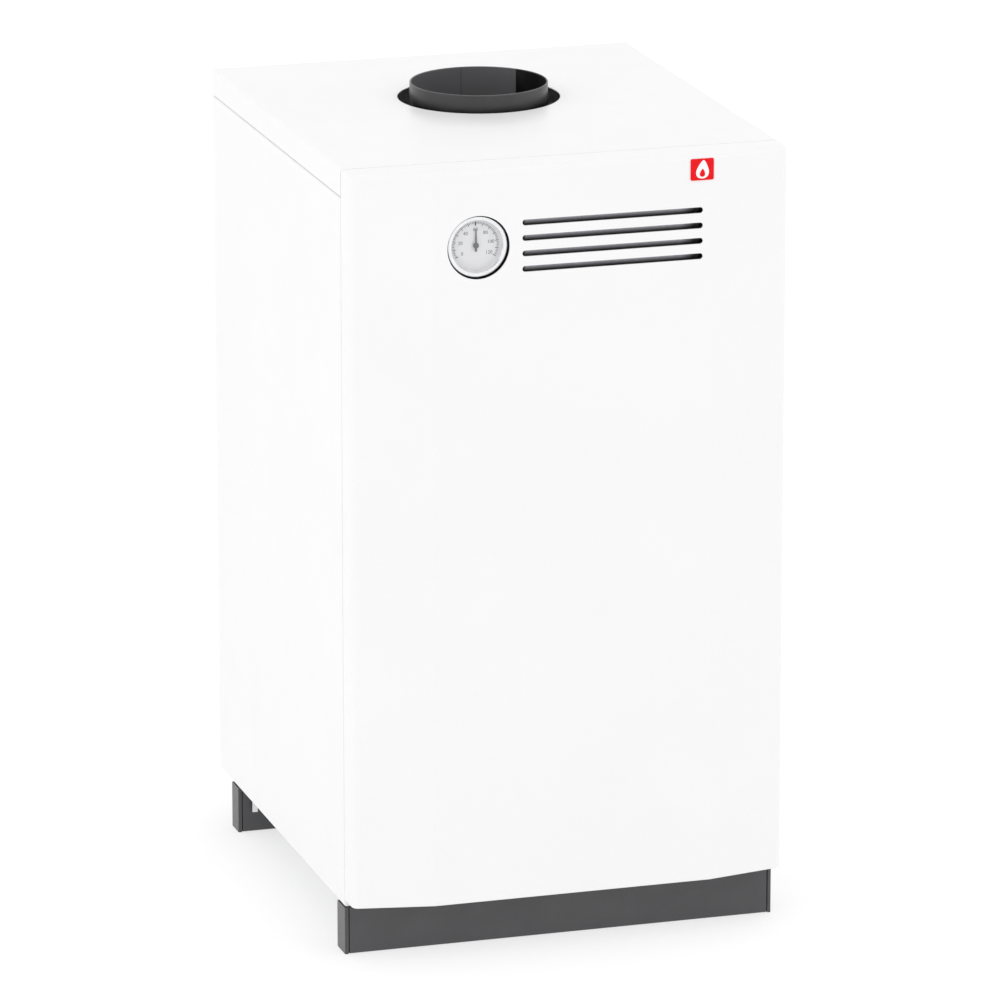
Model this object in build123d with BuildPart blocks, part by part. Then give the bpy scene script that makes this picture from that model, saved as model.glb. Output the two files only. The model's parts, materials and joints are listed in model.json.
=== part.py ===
from build123d import *
import os

# Floor-standing gas boiler with an atmospheric burner unit, millimetres.
# +Z up, front towards -Y, +X to the right seen from the front.
# Origin on the floor, under the middle of the overall box.

os.makedirs("parts", exist_ok=True)

# ---- driving dimensions ----
WIDTH = 416.0
LID_TOP = 744.0
CASE_DEPTH = 491.0
STUB = 28.0
BADGE_THICK = 0.8
SHEET = 1.0
FLANGE = 12.0
FOOT_HEIGHT = 46.2
PANEL_TOP = 717.9
LID_GAP = 1.3
DOOR_GAP = 0.8
BEND = 2.0
LID_BEND = 3.0

HALF = WIDTH / 2
FRONT = -(CASE_DEPTH + STUB) / 2
REAR = FRONT + CASE_DEPTH
PIPE_END = REAR + STUB + BADGE_THICK
PANEL_FRONT = FRONT + 43.8
DOOR_BACK = PANEL_FRONT - 2.2

# door pan
DOOR_BOTTOM = 52.6
DOOR_FOLD_X = 133.3
DOOR_WING_Y = FRONT + 14.6
DOOR_SHEET = 1.2
DOOR_CORNER = 7.0
DOOR_TOP_BEND = 3.0
DOOR_BOTTOM_BEND = 1.5
DIAL_X = -91.0
DIAL_Z = 673.4
DIAL_HOLE = 29.4
SLOT_LENGTH = 171.5
SLOT_HEIGHT = 5.5
SLOT_PITCH = 14.33
SLOT_X = 36.0
SLOT_Z = 672.15
SLOTS_FRONT = 4
SLOTS_REAR = 5
REAR_SLOT_LENGTH = 228.0
REAR_SLOT_Z = 662.0
BLADE_INSET = 3.0
BLADE_DEPTH = 4.0
BLADE_SHEET = 1.0
HINGE_X = -202.0
HINGE_Y = -235.9
HINGE_PIN = 3.0
SWING_R = DOOR_BACK + DOOR_GAP - 0.3 - HINGE_Y
FIT = 0.05

# flue
FLUE_Y = REAR - 191.0
FLUE_R = 65.0
FLUE_WALL = 1.5
FLUE_TOP = 758.5
LID_HOLE = 76.5

# feet
FRONT_FOOT_Y = PANEL_FRONT - 1.3
REAR_FOOT_Y = 161.7
FOOT_SHEET = 2.0
FOOT_STEP = 1.3
COVER_PROUD = 1.2
COVER_RECESS = 1.3
COVER_HALF = 203.6
RECESS_HALF = 204.8
BOLT_X = 160.0
BOLT_R = 4.5

# boiler body
BODY_X = 155.0
BODY_FRONT = FLUE_Y - 140.0
BODY_REAR = FLUE_Y + 140.0
BODY_BOTTOM = 95.0
BODY_TOP = 560.0
PLATE = 3.0
CHAMBER_X = 120.0
CHAMBER_FRONT = BODY_FRONT + 30.0
CHAMBER_REAR = BODY_REAR - 30.0
CHAMBER_TOP = 330.0
TUBE_R = 25.0
TUBE_PITCH = 78.0
TUNNEL_X = 112.0
TUNNEL_Z = (105.0, 195.0)
WOOL = 15.0
WOOL_GAP = 0.3
WATER_R = 23.0
WATER_THREAD_R = 23.9
WATER_THREAD = 22.0
WATER_BORE = 20.0
SUPPLY_Z = 515.0
RETURN_Z = 150.0
WELL = (-40.0, 500.0)

# burner unit
BURNER_Z = 150.0
BURNER_X = (-70.0, 0.0, 70.0)
BURNER_R = 20.0
NECK_R = 12.5
GASKET = 2.5
PLATE_FRONT = BODY_FRONT - GASKET - PLATE
MANIFOLD_Y = -150.0
MANIFOLD_HALF = 11.0
PILOT_Z = 182.0

# gas valve
VALVE_Z = 265.0
VALVE_FRONT = -178.0
VALVE_BACK = -122.0
GAS_R = 10.65
GAS_THREAD_R = 10.48
GAS_THREAD = 15.0
GAS_X = 183.0
GAS_Z = 262.0
PIEZO_X = -64.0


def block(x, y, z, mode=Mode.ADD):
    """A box between two limits on each axis."""
    with Locations(((x[0] + x[1]) / 2, (y[0] + y[1]) / 2, (z[0] + z[1]) / 2)):
        return Box(x[1] - x[0], y[1] - y[0], z[1] - z[0], mode=mode)


def rod(start, direction, radius, length, mode=Mode.ADD):
    """A cylinder that starts at a point and runs along a direction."""
    with Locations(Plane(origin=start, z_dir=direction)):
        return Cylinder(radius, length, align=(Align.CENTER, Align.CENTER, Align.MIN), mode=mode)


def turned_y(cx, cz, profile, mode=Mode.ADD):
    """A solid turned about an axis along Y; the profile is a list of (radius, y) corners."""
    with BuildSketch(Plane.XY.offset(cz)) as section:
        with BuildLine():
            Polyline([(cx + r, y) for r, y in profile], close=True)
        make_face()
    revolve(section.sketch, axis=Axis((cx, 0, cz), (0, 1, 0)), mode=mode)


def turned_z(cx, cy, profile, mode=Mode.ADD):
    """A solid turned about a vertical axis; the profile is a list of (radius, z) corners."""
    with BuildSketch(Plane(origin=(0, cy, 0), x_dir=(1, 0, 0), z_dir=(0, -1, 0))) as section:
        with BuildLine():
            Polyline([(cx + r, z) for r, z in profile], close=True)
        make_face()
    revolve(section.sketch, axis=Axis((cx, cy, 0), (0, 0, 1)), mode=mode)


def nut(start, direction, across_flats, thickness, mode=Mode.ADD):
    """A hexagon prism that starts at a point and runs along a direction."""
    with BuildSketch(Plane(origin=start, z_dir=direction)) as hexagon:
        RegularPolygon(across_flats / 2, 6, major_radius=False)
    extrude(hexagon.sketch, amount=thickness, mode=mode)


def tube_run(points, radii, radius):
    """A round wire or tube along straight runs joined by arcs."""
    with BuildLine() as route:
        FilletPolyline(points, radius=radii)
    with BuildSketch(Plane(origin=route.line @ 0, z_dir=route.line % 0)) as section:
        Circle(radius)
    sweep(section.sketch, path=route.line)


# ---- casing ----

# Folded side pan: the outer wall with a flange turned in along all four edges.
TAB_X = (-HALF + 13.0, -HALF + 18.0)
TAB_Y = (155.5, 157.0)
TAB_BOTTOM = 21.0
with BuildPart() as left_side_panel:
    block((-HALF, -HALF + FLANGE), (PANEL_FRONT, REAR - SHEET), (FOOT_HEIGHT, PANEL_TOP))
    outer = left_side_panel.faces().sort_by(Axis.X)[0]
    fillet(outer.edges(), BEND)
    block(
        (-HALF + SHEET, -HALF + FLANGE + 1),
        (PANEL_FRONT + SHEET, REAR - 2 * SHEET),
        (FOOT_HEIGHT + SHEET, PANEL_TOP - SHEET),
        Mode.SUBTRACT,
    )
    # Locking tab bent down from a tongue of the bottom flange, in front of the rear foot.
    block((TAB_X[0], TAB_X[1]), (TAB_Y[0], TAB_Y[1]), (TAB_BOTTOM, FOOT_HEIGHT + SHEET))
    block((-HALF + FLANGE - 1, TAB_X[1]), (TAB_Y[0] - 5, TAB_Y[1]), (FOOT_HEIGHT, FOOT_HEIGHT + SHEET))
left_side_panel.part.label = "left_side_panel"
export_step(left_side_panel.part, "parts/left_side_panel.step")

with BuildPart() as right_side_panel:
    mirror(left_side_panel.part, about=Plane.YZ)
right_side_panel.part.label = "right_side_panel"
export_step(right_side_panel.part, "parts/right_side_panel.step")

with BuildPart() as rear_panel:
    block((-HALF + 1, HALF - 1), (REAR - SHEET, REAR), (FOOT_HEIGHT + 1, PANEL_TOP))
    for pipe_z in (SUPPLY_Z, RETURN_Z):
        rod((0, REAR - 5, pipe_z), (0, 1, 0), WATER_THREAD_R + 3, 10, Mode.SUBTRACT)
    rod((GAS_X, REAR - 5, GAS_Z), (0, 1, 0), GAS_R + 2, 10, Mode.SUBTRACT)
    with BuildSketch(Plane(origin=(0, REAR + 1, REAR_SLOT_Z), x_dir=(1, 0, 0), z_dir=(0, -1, 0))):
        with GridLocations(0, SLOT_PITCH, 1, SLOTS_REAR):
            SlotOverall(REAR_SLOT_LENGTH, SLOT_HEIGHT)
    extrude(amount=5, mode=Mode.SUBTRACT)
rear_panel.part.label = "rear_panel"
export_step(rear_panel.part, "parts/rear_panel.step")

# Lid: a shallow tray turned upside down, with a clearance hole round the flue collar.
LID_FRONT = DOOR_BACK + DOOR_GAP
with BuildPart() as lid:
    block((-HALF, HALF), (LID_FRONT, REAR), (PANEL_TOP + LID_GAP, LID_TOP))
    rim = lid.edges().filter_by(lambda e: e.center().Z > LID_TOP - 0.1 and e.center().Y > LID_FRONT + 1)
    fillet(rim, LID_BEND)
    offset(amount=-SHEET, openings=lid.faces().sort_by(Axis.Z)[0])
    for side in (-1, 1):
        block(
            sorted((side * (HALF - SHEET), side * (HALF - FLANGE))),
            (LID_FRONT + SHEET, REAR - SHEET),
            (PANEL_TOP + LID_GAP, PANEL_TOP + LID_GAP + SHEET),
        )
    rod((0, FLUE_Y, LID_TOP - 10), (0, 0, 1), LID_HOLE, 20, Mode.SUBTRACT)
lid.part.label = "lid"
export_step(lid.part, "parts/lid.step")

# Foam strips that carry the lid on the side panels and leave the narrow joint line.
with BuildPart() as lid_seals:
    for side in (-1, 1):
        block(
            sorted((side * (HALF - 3), side * (HALF - FLANGE))),
            (PANEL_FRONT + 2, REAR - 4),
            (PANEL_TOP, PANEL_TOP + LID_GAP),
        )
lid_seals.part.label = "lid_seals"
export_step(lid_seals.part, "parts/lid_seals.step")


def foot(web_y, depth):
    """A folded channel across the whole width: end strips stand proud of a web that is set back
    for the cover, and the top flange stands a step above the walls to carry the casing."""
    front = web_y - COVER_PROUD
    with BuildPart() as channel:
        block((-HALF, HALF), (front, web_y + depth), (0, FOOT_HEIGHT - FOOT_STEP))
        fillet(channel.faces().sort_by(Axis.Y)[0].edges().filter_by(Axis.Z), 1.0)
        block(
            (-HALF + FOOT_SHEET, HALF - FOOT_SHEET),
            (web_y + COVER_RECESS, web_y + depth),
            (FOOT_HEIGHT - FOOT_STEP, FOOT_HEIGHT),
        )
        block(
            (-RECESS_HALF, RECESS_HALF),
            (front - 1, web_y + COVER_RECESS),
            (-1, FOOT_HEIGHT),
            Mode.SUBTRACT,
        )
        block(
            (-HALF + FOOT_SHEET, HALF - FOOT_SHEET),
            (web_y + COVER_RECESS + FOOT_SHEET, web_y + depth + 1),
            (FOOT_SHEET, FOOT_HEIGHT - FOOT_SHEET),
            Mode.SUBTRACT,
        )
        for bolt_x in (-BOLT_X, BOLT_X):
            rod((bolt_x, web_y + depth - 9, -1), (0, 0, 1), BOLT_R, FOOT_HEIGHT + 2, Mode.SUBTRACT)
    return channel.part


with BuildPart() as front_foot:
    add(foot(FRONT_FOOT_Y, 24.7))
front_foot.part.label = "front_foot"
export_step(front_foot.part, "parts/front_foot.step")

with BuildPart() as rear_foot:
    add(foot(REAR_FOOT_Y, 22.0))
rear_foot.part.label = "rear_foot"
export_step(rear_foot.part, "parts/rear_foot.step")

# Cover strips on the front of both feet, with a shadow gap at each end.
with BuildPart() as foot_covers:
    for web_y in (FRONT_FOOT_Y, REAR_FOOT_Y):
        block(
            (-COVER_HALF, COVER_HALF),
            (web_y - COVER_PROUD, web_y + COVER_RECESS),
            (0.5, FOOT_HEIGHT - FOOT_STEP),
        )
    front_faces = foot_covers.faces().filter_by(lambda f: f.normal_at().Y < -0.9)
    fillet(front_faces.edges(), 0.5)
foot_covers.part.label = "foot_covers"
export_step(foot_covers.part, "parts/foot_covers.step")

# Floor of the casing, with air openings and a kick plate turned up at the front.
FLOOR_Z = FOOT_HEIGHT + SHEET
with BuildPart() as base_plate:
    block((-HALF + 2, HALF - 2), (PANEL_FRONT + SHEET, REAR - 2 * SHEET), (FLOOR_Z, FLOOR_Z + 1.5))
    block((-HALF + 2, HALF - 2), (PANEL_FRONT + SHEET, PANEL_FRONT + SHEET + 1.5), (FLOOR_Z, 95.0))
    with Locations((0, -150, FLOOR_Z), (0, 0, FLOOR_Z), (0, 90, FLOOR_Z)):
        Box(220, 56, 10, mode=Mode.SUBTRACT)
base_plate.part.label = "base_plate"
export_step(base_plate.part, "parts/base_plate.step")

# Cross rail behind the door: joggled forward in the middle to carry the thermometer.
RAIL_Y = PANEL_FRONT + SHEET
RAIL_NOSE = -229.5
RAIL_SHEET = 1.5
RAIL_Z = (634.0, 712.0)
with BuildPart() as control_rail:
    with BuildSketch(Plane.XY.offset(RAIL_Z[0])):
        with BuildLine():
            Polyline(
                (-HALF + 2, RAIL_Y), (-150, RAIL_Y), (-138, RAIL_NOSE), (138, RAIL_NOSE),
                (150, RAIL_Y), (HALF - 2, RAIL_Y), (HALF - 2, RAIL_Y + RAIL_SHEET),
                (149.2, RAIL_Y + RAIL_SHEET), (137.2, RAIL_NOSE + RAIL_SHEET),
                (-137.2, RAIL_NOSE + RAIL_SHEET), (-149.2, RAIL_Y + RAIL_SHEET),
                (-HALF + 2, RAIL_Y + RAIL_SHEET), close=True,
            )
        make_face()
    extrude(amount=RAIL_Z[1] - RAIL_Z[0])
    for flange_z in (RAIL_Z[0], RAIL_Z[1] - RAIL_SHEET):
        block((-137, 137), (RAIL_NOSE + RAIL_SHEET, RAIL_Y + 12), (flange_z, flange_z + RAIL_SHEET))
    rod((DIAL_X, RAIL_NOSE - 1, DIAL_Z), (0, 1, 0), 4.0, 5, Mode.SUBTRACT)
control_rail.part.label = "control_rail"
export_step(control_rail.part, "parts/control_rail.step")

# Swan-neck hinge arms: they reach round the door's side wall, which swings through the corner.
ARM_ROOT_X = -178.0
HINGE_LEVELS = (75.0, 700.0)
with BuildPart() as hinge_arms:
    for level in HINGE_LEVELS:
        with BuildSketch(Plane.XY.offset(level)) as arm:
            with BuildLine():
                Polyline(
                    (ARM_ROOT_X - 4, RAIL_Y), (ARM_ROOT_X + 4, RAIL_Y), (ARM_ROOT_X + 4, HINGE_Y - 4.5),
                    (HINGE_X, HINGE_Y - 4.5), (HINGE_X, HINGE_Y + 3.0),
                    (ARM_ROOT_X - 4, HINGE_Y + 3.0), close=True,
                )
            make_face()
            fillet(arm.vertices().filter_by(lambda v: v.Y < HINGE_Y - 4 and v.X > HINGE_X + 5), 5)
            with Locations((HINGE_X, HINGE_Y - 0.6)):
                Circle(3.9)
            with Locations((HINGE_X, HINGE_Y)):
                Circle(HINGE_PIN, mode=Mode.SUBTRACT)
        extrude(amount=3)
        block((ARM_ROOT_X - 12, ARM_ROOT_X + 16), (RAIL_Y - 2.0, RAIL_Y), (level - 9, level + 9))
hinge_arms.part.label = "hinge_arms"
export_step(hinge_arms.part, "parts/hinge_arms.step")

with BuildPart() as hinge_pins:
    for level in HINGE_LEVELS:
        rod((HINGE_X, HINGE_Y, level - 1.0), (0, 0, 1), HINGE_PIN, 10.0)
hinge_pins.part.label = "hinge_pins"
export_step(hinge_pins.part, "parts/hinge_pins.step")

with BuildPart() as magnetic_catches:
    for level in HINGE_LEVELS:
        block((170, 192), (RAIL_Y - 12, RAIL_Y), (level - 7, level + 7))
    fillet(magnetic_catches.edges().filter_by(Axis.Y), 1.5)
magnetic_catches.part.label = "magnetic_catches"
export_step(magnetic_catches.part, "parts/magnetic_catches.step")

# ---- door ----

with BuildPart() as door_skin:
    with BuildSketch(Plane.XY.offset(DOOR_BOTTOM)) as plan:
        with BuildLine():
            Polyline(
                (-HALF, DOOR_BACK), (-HALF, DOOR_WING_Y), (-DOOR_FOLD_X, FRONT),
                (DOOR_FOLD_X, FRONT), (HALF, DOOR_WING_Y), (HALF, DOOR_BACK), close=True,
            )
        make_face()
        corners = plan.vertices().filter_by(lambda v: abs(v.X) > HALF - 1 and v.Y < DOOR_BACK - 1)
        fillet(corners, DOOR_CORNER)
    extrude(amount=LID_TOP - DOOR_BOTTOM)
    for level_face, radius in (
        (door_skin.faces().sort_by(Axis.Z)[-1], DOOR_TOP_BEND),
        (door_skin.faces().sort_by(Axis.Z)[0], DOOR_BOTTOM_BEND),
    ):
        fillet(level_face.edges().filter_by(lambda e: e.center().Y < DOOR_BACK - 1), radius)
    offset(amount=-DOOR_SHEET, openings=door_skin.faces().sort_by(Axis.Y)[-1])
    rod((DIAL_X, FRONT - 1, DIAL_Z), (0, 1, 0), DIAL_HOLE, 10, Mode.SUBTRACT)
    with BuildSketch(Plane(origin=(SLOT_X, FRONT - 1, SLOT_Z), x_dir=(1, 0, 0), z_dir=(0, -1, 0))):
        with GridLocations(0, SLOT_PITCH, 1, SLOTS_FRONT):
            SlotOverall(SLOT_LENGTH, SLOT_HEIGHT)
    extrude(amount=-5, mode=Mode.SUBTRACT)
    # The rear corner beside the hinge is eased so that it swings clear of the lid.
    with BuildSketch(Plane.XY.offset(DOOR_BOTTOM - 1)):
        with BuildLine():
            Polyline(
                (-HALF - 1, HINGE_Y), (HINGE_X, HINGE_Y), (HINGE_X, DOOR_BACK + 1),
                (-HALF - 1, DOOR_BACK + 1), close=True,
            )
        make_face()
        with Locations((HINGE_X, HINGE_Y)):
            Circle(SWING_R, mode=Mode.SUBTRACT)
    extrude(amount=LID_TOP - DOOR_BOTTOM + 2, mode=Mode.SUBTRACT)
door_skin.part.label = "door_skin"
export_step(door_skin.part, "parts/door_skin.step")

# Pivot plates and magnet strikes welded inside the door.
INNER = HALF - DOOR_SHEET
with BuildPart() as door_brackets:
    for level in HINGE_LEVELS:
        plate_z = level + 3.4
        block((-INNER + 1, HINGE_X + 5.5), (HINGE_Y - 5.5, HINGE_Y + 5.5), (plate_z, plate_z + 3))
        block((-INNER, -INNER + 1), (HINGE_Y - 1.5, HINGE_Y + 12), (plate_z, plate_z + 14))
        rod((HINGE_X, HINGE_Y, plate_z - 1), (0, 0, 1), HINGE_PIN + FIT, 6, Mode.SUBTRACT)
        block((172, INNER), (RAIL_Y - 13.8, RAIL_Y - 12.3), (level - 8, level + 8))
        block((INNER - 1.5, INNER), (RAIL_Y - 12.3, DOOR_BACK - 0.5), (level - 8, level + 8))
door_brackets.part.label = "door_brackets"
export_step(door_brackets.part, "parts/door_brackets.step")

# Hat-section stiffeners across the middle of the door.
DOOR_INSIDE = FRONT + DOOR_SHEET
HAT_X = 125.0
HAT_DEPTH = 11.0
HAT_HALF = 18.0
HAT_FLANGE = 28.0
with BuildPart() as door_stiffener:
    for level in (240.0, 470.0):
        inner_half = HAT_HALF - SHEET
        block(
            (-HAT_X, HAT_X),
            (DOOR_INSIDE, DOOR_INSIDE + HAT_DEPTH),
            (level - HAT_HALF, level + HAT_HALF),
        )
        block(
            (-HAT_X - 1, HAT_X + 1),
            (DOOR_INSIDE, DOOR_INSIDE + HAT_DEPTH - SHEET),
            (level - inner_half, level + inner_half),
            Mode.SUBTRACT,
        )
        for edge in (-1, 1):
            block(
                (-HAT_X, HAT_X),
                (DOOR_INSIDE, DOOR_INSIDE + SHEET),
                sorted((level + edge * inner_half, level + edge * HAT_FLANGE)),
            )
door_stiffener.part.label = "door_stiffener"
export_step(door_stiffener.part, "parts/door_stiffener.step")

# Four louvre blades fixed by their top flanges behind the slots, sloping down and inwards.
BLADE_HALF = SLOT_LENGTH / 2 - BLADE_INSET
BLADE_FLANGE = 4.5
with BuildPart() as vent_blades:
    for spot in GridLocations(0, SLOT_PITCH, 1, SLOTS_FRONT).locations:
        slot_top = SLOT_Z + spot.position.Y + SLOT_HEIGHT / 2
        slot_bottom = slot_top - SLOT_HEIGHT
        back = DOOR_INSIDE + BLADE_SHEET
        with BuildSketch(Plane.YZ.offset(SLOT_X - BLADE_HALF)) as blade:
            with BuildLine():
                Polyline(
                    (DOOR_INSIDE, slot_top + BLADE_FLANGE), (DOOR_INSIDE, slot_top + 0.3),
                    (DOOR_INSIDE + BLADE_DEPTH, slot_bottom - 0.2),
                    (back + BLADE_DEPTH, slot_bottom + 0.3), (back, slot_top + 0.8),
                    (back, slot_top + BLADE_FLANGE), close=True,
                )
            make_face()
        extrude(blade.sketch, amount=2 * BLADE_HALF)
vent_blades.part.label = "vent_blades"
export_step(vent_blades.part, "parts/vent_blades.step")

BADGE_X = 120.5
BADGE_Z = 731.6
with BuildPart() as badge:
    with BuildSketch(Plane(origin=(BADGE_X, FRONT, BADGE_Z), x_dir=(1, 0, 0), z_dir=(0, -1, 0))):
        RectangleRounded(22, 20, 1.5)
    extrude(amount=BADGE_THICK)
badge.part.label = "badge"
export_step(badge.part, "parts/badge.step")

# ---- thermometer, fixed to the cross rail and seen through the door ----

RING_FRONT = FRONT + 3.5
GLASS_FRONT = RING_FRONT + 1.5
CASE_FRONT = GLASS_FRONT + 1.5
DIAL_FRONT = FRONT + 10.0
CASE_R = 27.5

with BuildPart() as thermometer_case:
    turned_y(DIAL_X, DIAL_Z, [
        (0.85, DIAL_FRONT + 3), (10, DIAL_FRONT + 3), (10, RAIL_NOSE - 2), (26.0, RAIL_NOSE - 2),
        (26.0, DIAL_FRONT + 0.8), (26.5, DIAL_FRONT + 0.8), (26.5, CASE_FRONT), (CASE_R, CASE_FRONT),
        (CASE_R, RAIL_NOSE), (0.85, RAIL_NOSE),
    ])
thermometer_case.part.label = "thermometer_case"
export_step(thermometer_case.part, "parts/thermometer_case.step")

with BuildPart() as thermometer_bezel:
    turned_y(DIAL_X, DIAL_Z, [
        (24.0, RING_FRONT + 1.5), (24.6, RING_FRONT + 0.4), (26.0, RING_FRONT), (27.6, RING_FRONT + 0.2),
        (28.5, RING_FRONT + 1.0), (28.75, RING_FRONT + 2.0), (28.75, RING_FRONT + 8.0),
        (CASE_R, RING_FRONT + 8.0), (CASE_R, GLASS_FRONT),
    ])
thermometer_bezel.part.label = "thermometer_bezel"
export_step(thermometer_bezel.part, "parts/thermometer_bezel.step")

with BuildPart() as thermometer_glass:
    rod((DIAL_X, GLASS_FRONT, DIAL_Z), (0, 1, 0), CASE_R, CASE_FRONT - GLASS_FRONT)
thermometer_glass.part.label = "thermometer_glass"
export_step(thermometer_glass.part, "parts/thermometer_glass.step")

with BuildPart() as thermometer_dial:
    rod((DIAL_X, DIAL_FRONT, DIAL_Z), (0, 1, 0), 26.5, 0.8)
    rod((DIAL_X, DIAL_FRONT - 1, DIAL_Z), (0, 1, 0), 1.4, 4, Mode.SUBTRACT)
thermometer_dial.part.label = "thermometer_dial"
export_step(thermometer_dial.part, "parts/thermometer_dial.step")

# Hand and spindle in one: the hub is a disc over the end of the spindle.
POINTER_FRONT = DIAL_FRONT - 1.9
HAND_TIP = 15.5
HAND_TAIL = 5.5
HUB_R = 2.7
with BuildPart() as thermometer_pointer:
    hand_plane = Plane(origin=(DIAL_X, POINTER_FRONT, DIAL_Z), x_dir=(1, 0, 0), z_dir=(0, -1, 0))
    with BuildSketch(hand_plane) as hand:
        with BuildLine():
            Polyline(
                (-0.85, -HAND_TAIL), (0.85, -HAND_TAIL), (0.95, 0), (0.45, HAND_TIP),
                (-0.45, HAND_TIP), (-0.95, 0), close=True,
            )
        make_face()
        Circle(HUB_R)
    extrude(hand.sketch, amount=-0.5)
    rod((DIAL_X, POINTER_FRONT, DIAL_Z), (0, 1, 0), 0.8, RAIL_NOSE - 1 - POINTER_FRONT)
thermometer_pointer.part.label = "thermometer_pointer"
export_step(thermometer_pointer.part, "parts/thermometer_pointer.step")

# Two capillaries with their bulbs side by side in the pocket on the boiler's front.
WELL_FRONT = BODY_FRONT - 18.0
with BuildPart() as capillary_tubes:
    tube_run(
        [(DIAL_X, RAIL_NOSE, DIAL_Z), (DIAL_X, -178, DIAL_Z), (-74, -152, 600),
         (WELL[0] - 3.5, -150, 540), (WELL[0] - 3.5, -142, WELL[1]), (WELL[0] - 3.5, -110, WELL[1])],
        [18, 22, 18, 11], 0.8,
    )
    rod((WELL[0] - 3.5, -110, WELL[1]), (0, 1, 0), 3.1, 70)
    tube_run(
        [(-20, -150, 294), (-20, -150, 345), (WELL[0] + 3.5, -156, 430),
         (WELL[0] + 3.5, -142, WELL[1]), (WELL[0] + 3.5, -110, WELL[1])],
        [25, 25, 11], 0.8,
    )
    rod((WELL[0] + 3.5, -110, WELL[1]), (0, 1, 0), 3.1, 70)
capillary_tubes.part.label = "capillary_tubes"
export_step(capillary_tubes.part, "parts/capillary_tubes.step")

with BuildPart() as thermowell:
    rod((WELL[0], WELL_FRONT, WELL[1]), (0, 1, 0), 8.0, 90)
    nut((WELL[0], WELL_FRONT, WELL[1]), (0, 1, 0), 24, 9)
    rod((WELL[0], WELL_FRONT - 1, WELL[1]), (0, 1, 0), 6.8, 89, Mode.SUBTRACT)
thermowell.part.label = "thermowell"
export_step(thermowell.part, "parts/thermowell.step")

# ---- boiler body ----

BODY_CORNER = 8.0
with BuildPart() as water_space:
    block(
        (-BODY_X + PLATE, BODY_X - PLATE),
        (BODY_FRONT + PLATE, BODY_REAR - PLATE),
        (BODY_BOTTOM + PLATE, BODY_TOP + 40),
    )
    fillet(water_space.edges().filter_by(Axis.Z), BODY_CORNER - PLATE)

with BuildPart() as jacket_shell:
    block((-BODY_X, BODY_X), (BODY_FRONT, BODY_REAR), (BODY_BOTTOM, BODY_TOP))
    fillet(jacket_shell.edges().filter_by(Axis.Z), BODY_CORNER)
    add(water_space.part, mode=Mode.SUBTRACT)
    block((-CHAMBER_X, CHAMBER_X), (CHAMBER_FRONT, CHAMBER_REAR), (BODY_BOTTOM - 1, 110), Mode.SUBTRACT)
    block((-TUNNEL_X, TUNNEL_X), (BODY_FRONT - 1, BODY_FRONT + 20), TUNNEL_Z, Mode.SUBTRACT)
    for pipe_z in (SUPPLY_Z, RETURN_Z):
        rod((0, BODY_REAR - 10, pipe_z), (0, 1, 0), WATER_R, 20, Mode.SUBTRACT)
    rod((WELL[0], BODY_FRONT - 1, WELL[1]), (0, 1, 0), 8.0, 10, Mode.SUBTRACT)
jacket_shell.part.label = "jacket_shell"
export_step(jacket_shell.part, "parts/jacket_shell.step")

TUBE_GRID = GridLocations(TUBE_PITCH, TUBE_PITCH, 3, 3).locations
TUBE_CENTRES = [(spot.position.X, spot.position.Y + FLUE_Y) for spot in TUBE_GRID]

# Firebox, open at the bottom, with its crown plate and the burner tunnel through the front water wall.
with BuildPart() as combustion_chamber:
    block((-CHAMBER_X, CHAMBER_X), (CHAMBER_FRONT, CHAMBER_REAR), (BODY_BOTTOM, CHAMBER_TOP))
    block((-TUNNEL_X, TUNNEL_X), (BODY_FRONT, CHAMBER_FRONT + 5), TUNNEL_Z)
    block(
        (-CHAMBER_X + PLATE, CHAMBER_X - PLATE),
        (CHAMBER_FRONT + PLATE, CHAMBER_REAR - PLATE),
        (BODY_BOTTOM - 1, CHAMBER_TOP - PLATE),
        Mode.SUBTRACT,
    )
    block(
        (-TUNNEL_X + PLATE, TUNNEL_X - PLATE),
        (BODY_FRONT - 1, CHAMBER_FRONT + 10),
        (TUNNEL_Z[0] + PLATE, TUNNEL_Z[1] - PLATE),
        Mode.SUBTRACT,
    )
    for cx, cy in TUBE_CENTRES:
        rod((cx, cy, CHAMBER_TOP - 10), (0, 0, 1), TUBE_R, 20, Mode.SUBTRACT)
combustion_chamber.part.label = "combustion_chamber"
export_step(combustion_chamber.part, "parts/combustion_chamber.step")

# Top tube plate with the nine fire tubes welded into it.
with BuildPart() as tube_bundle:
    block((-BODY_X, BODY_X), (BODY_FRONT, BODY_REAR), (BODY_TOP, BODY_TOP + 4))
    fillet(tube_bundle.edges().filter_by(Axis.Z), BODY_CORNER)
    for cx, cy in TUBE_CENTRES:
        rod((cx, cy, CHAMBER_TOP - PLATE), (0, 0, 1), TUBE_R, BODY_TOP + 4 - CHAMBER_TOP + PLATE)
    for cx, cy in TUBE_CENTRES:
        rod((cx, cy, CHAMBER_TOP - 10), (0, 0, 1), TUBE_R - 2.5, 300, Mode.SUBTRACT)
tube_bundle.part.label = "tube_bundle"
export_step(tube_bundle.part, "parts/tube_bundle.step")

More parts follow.
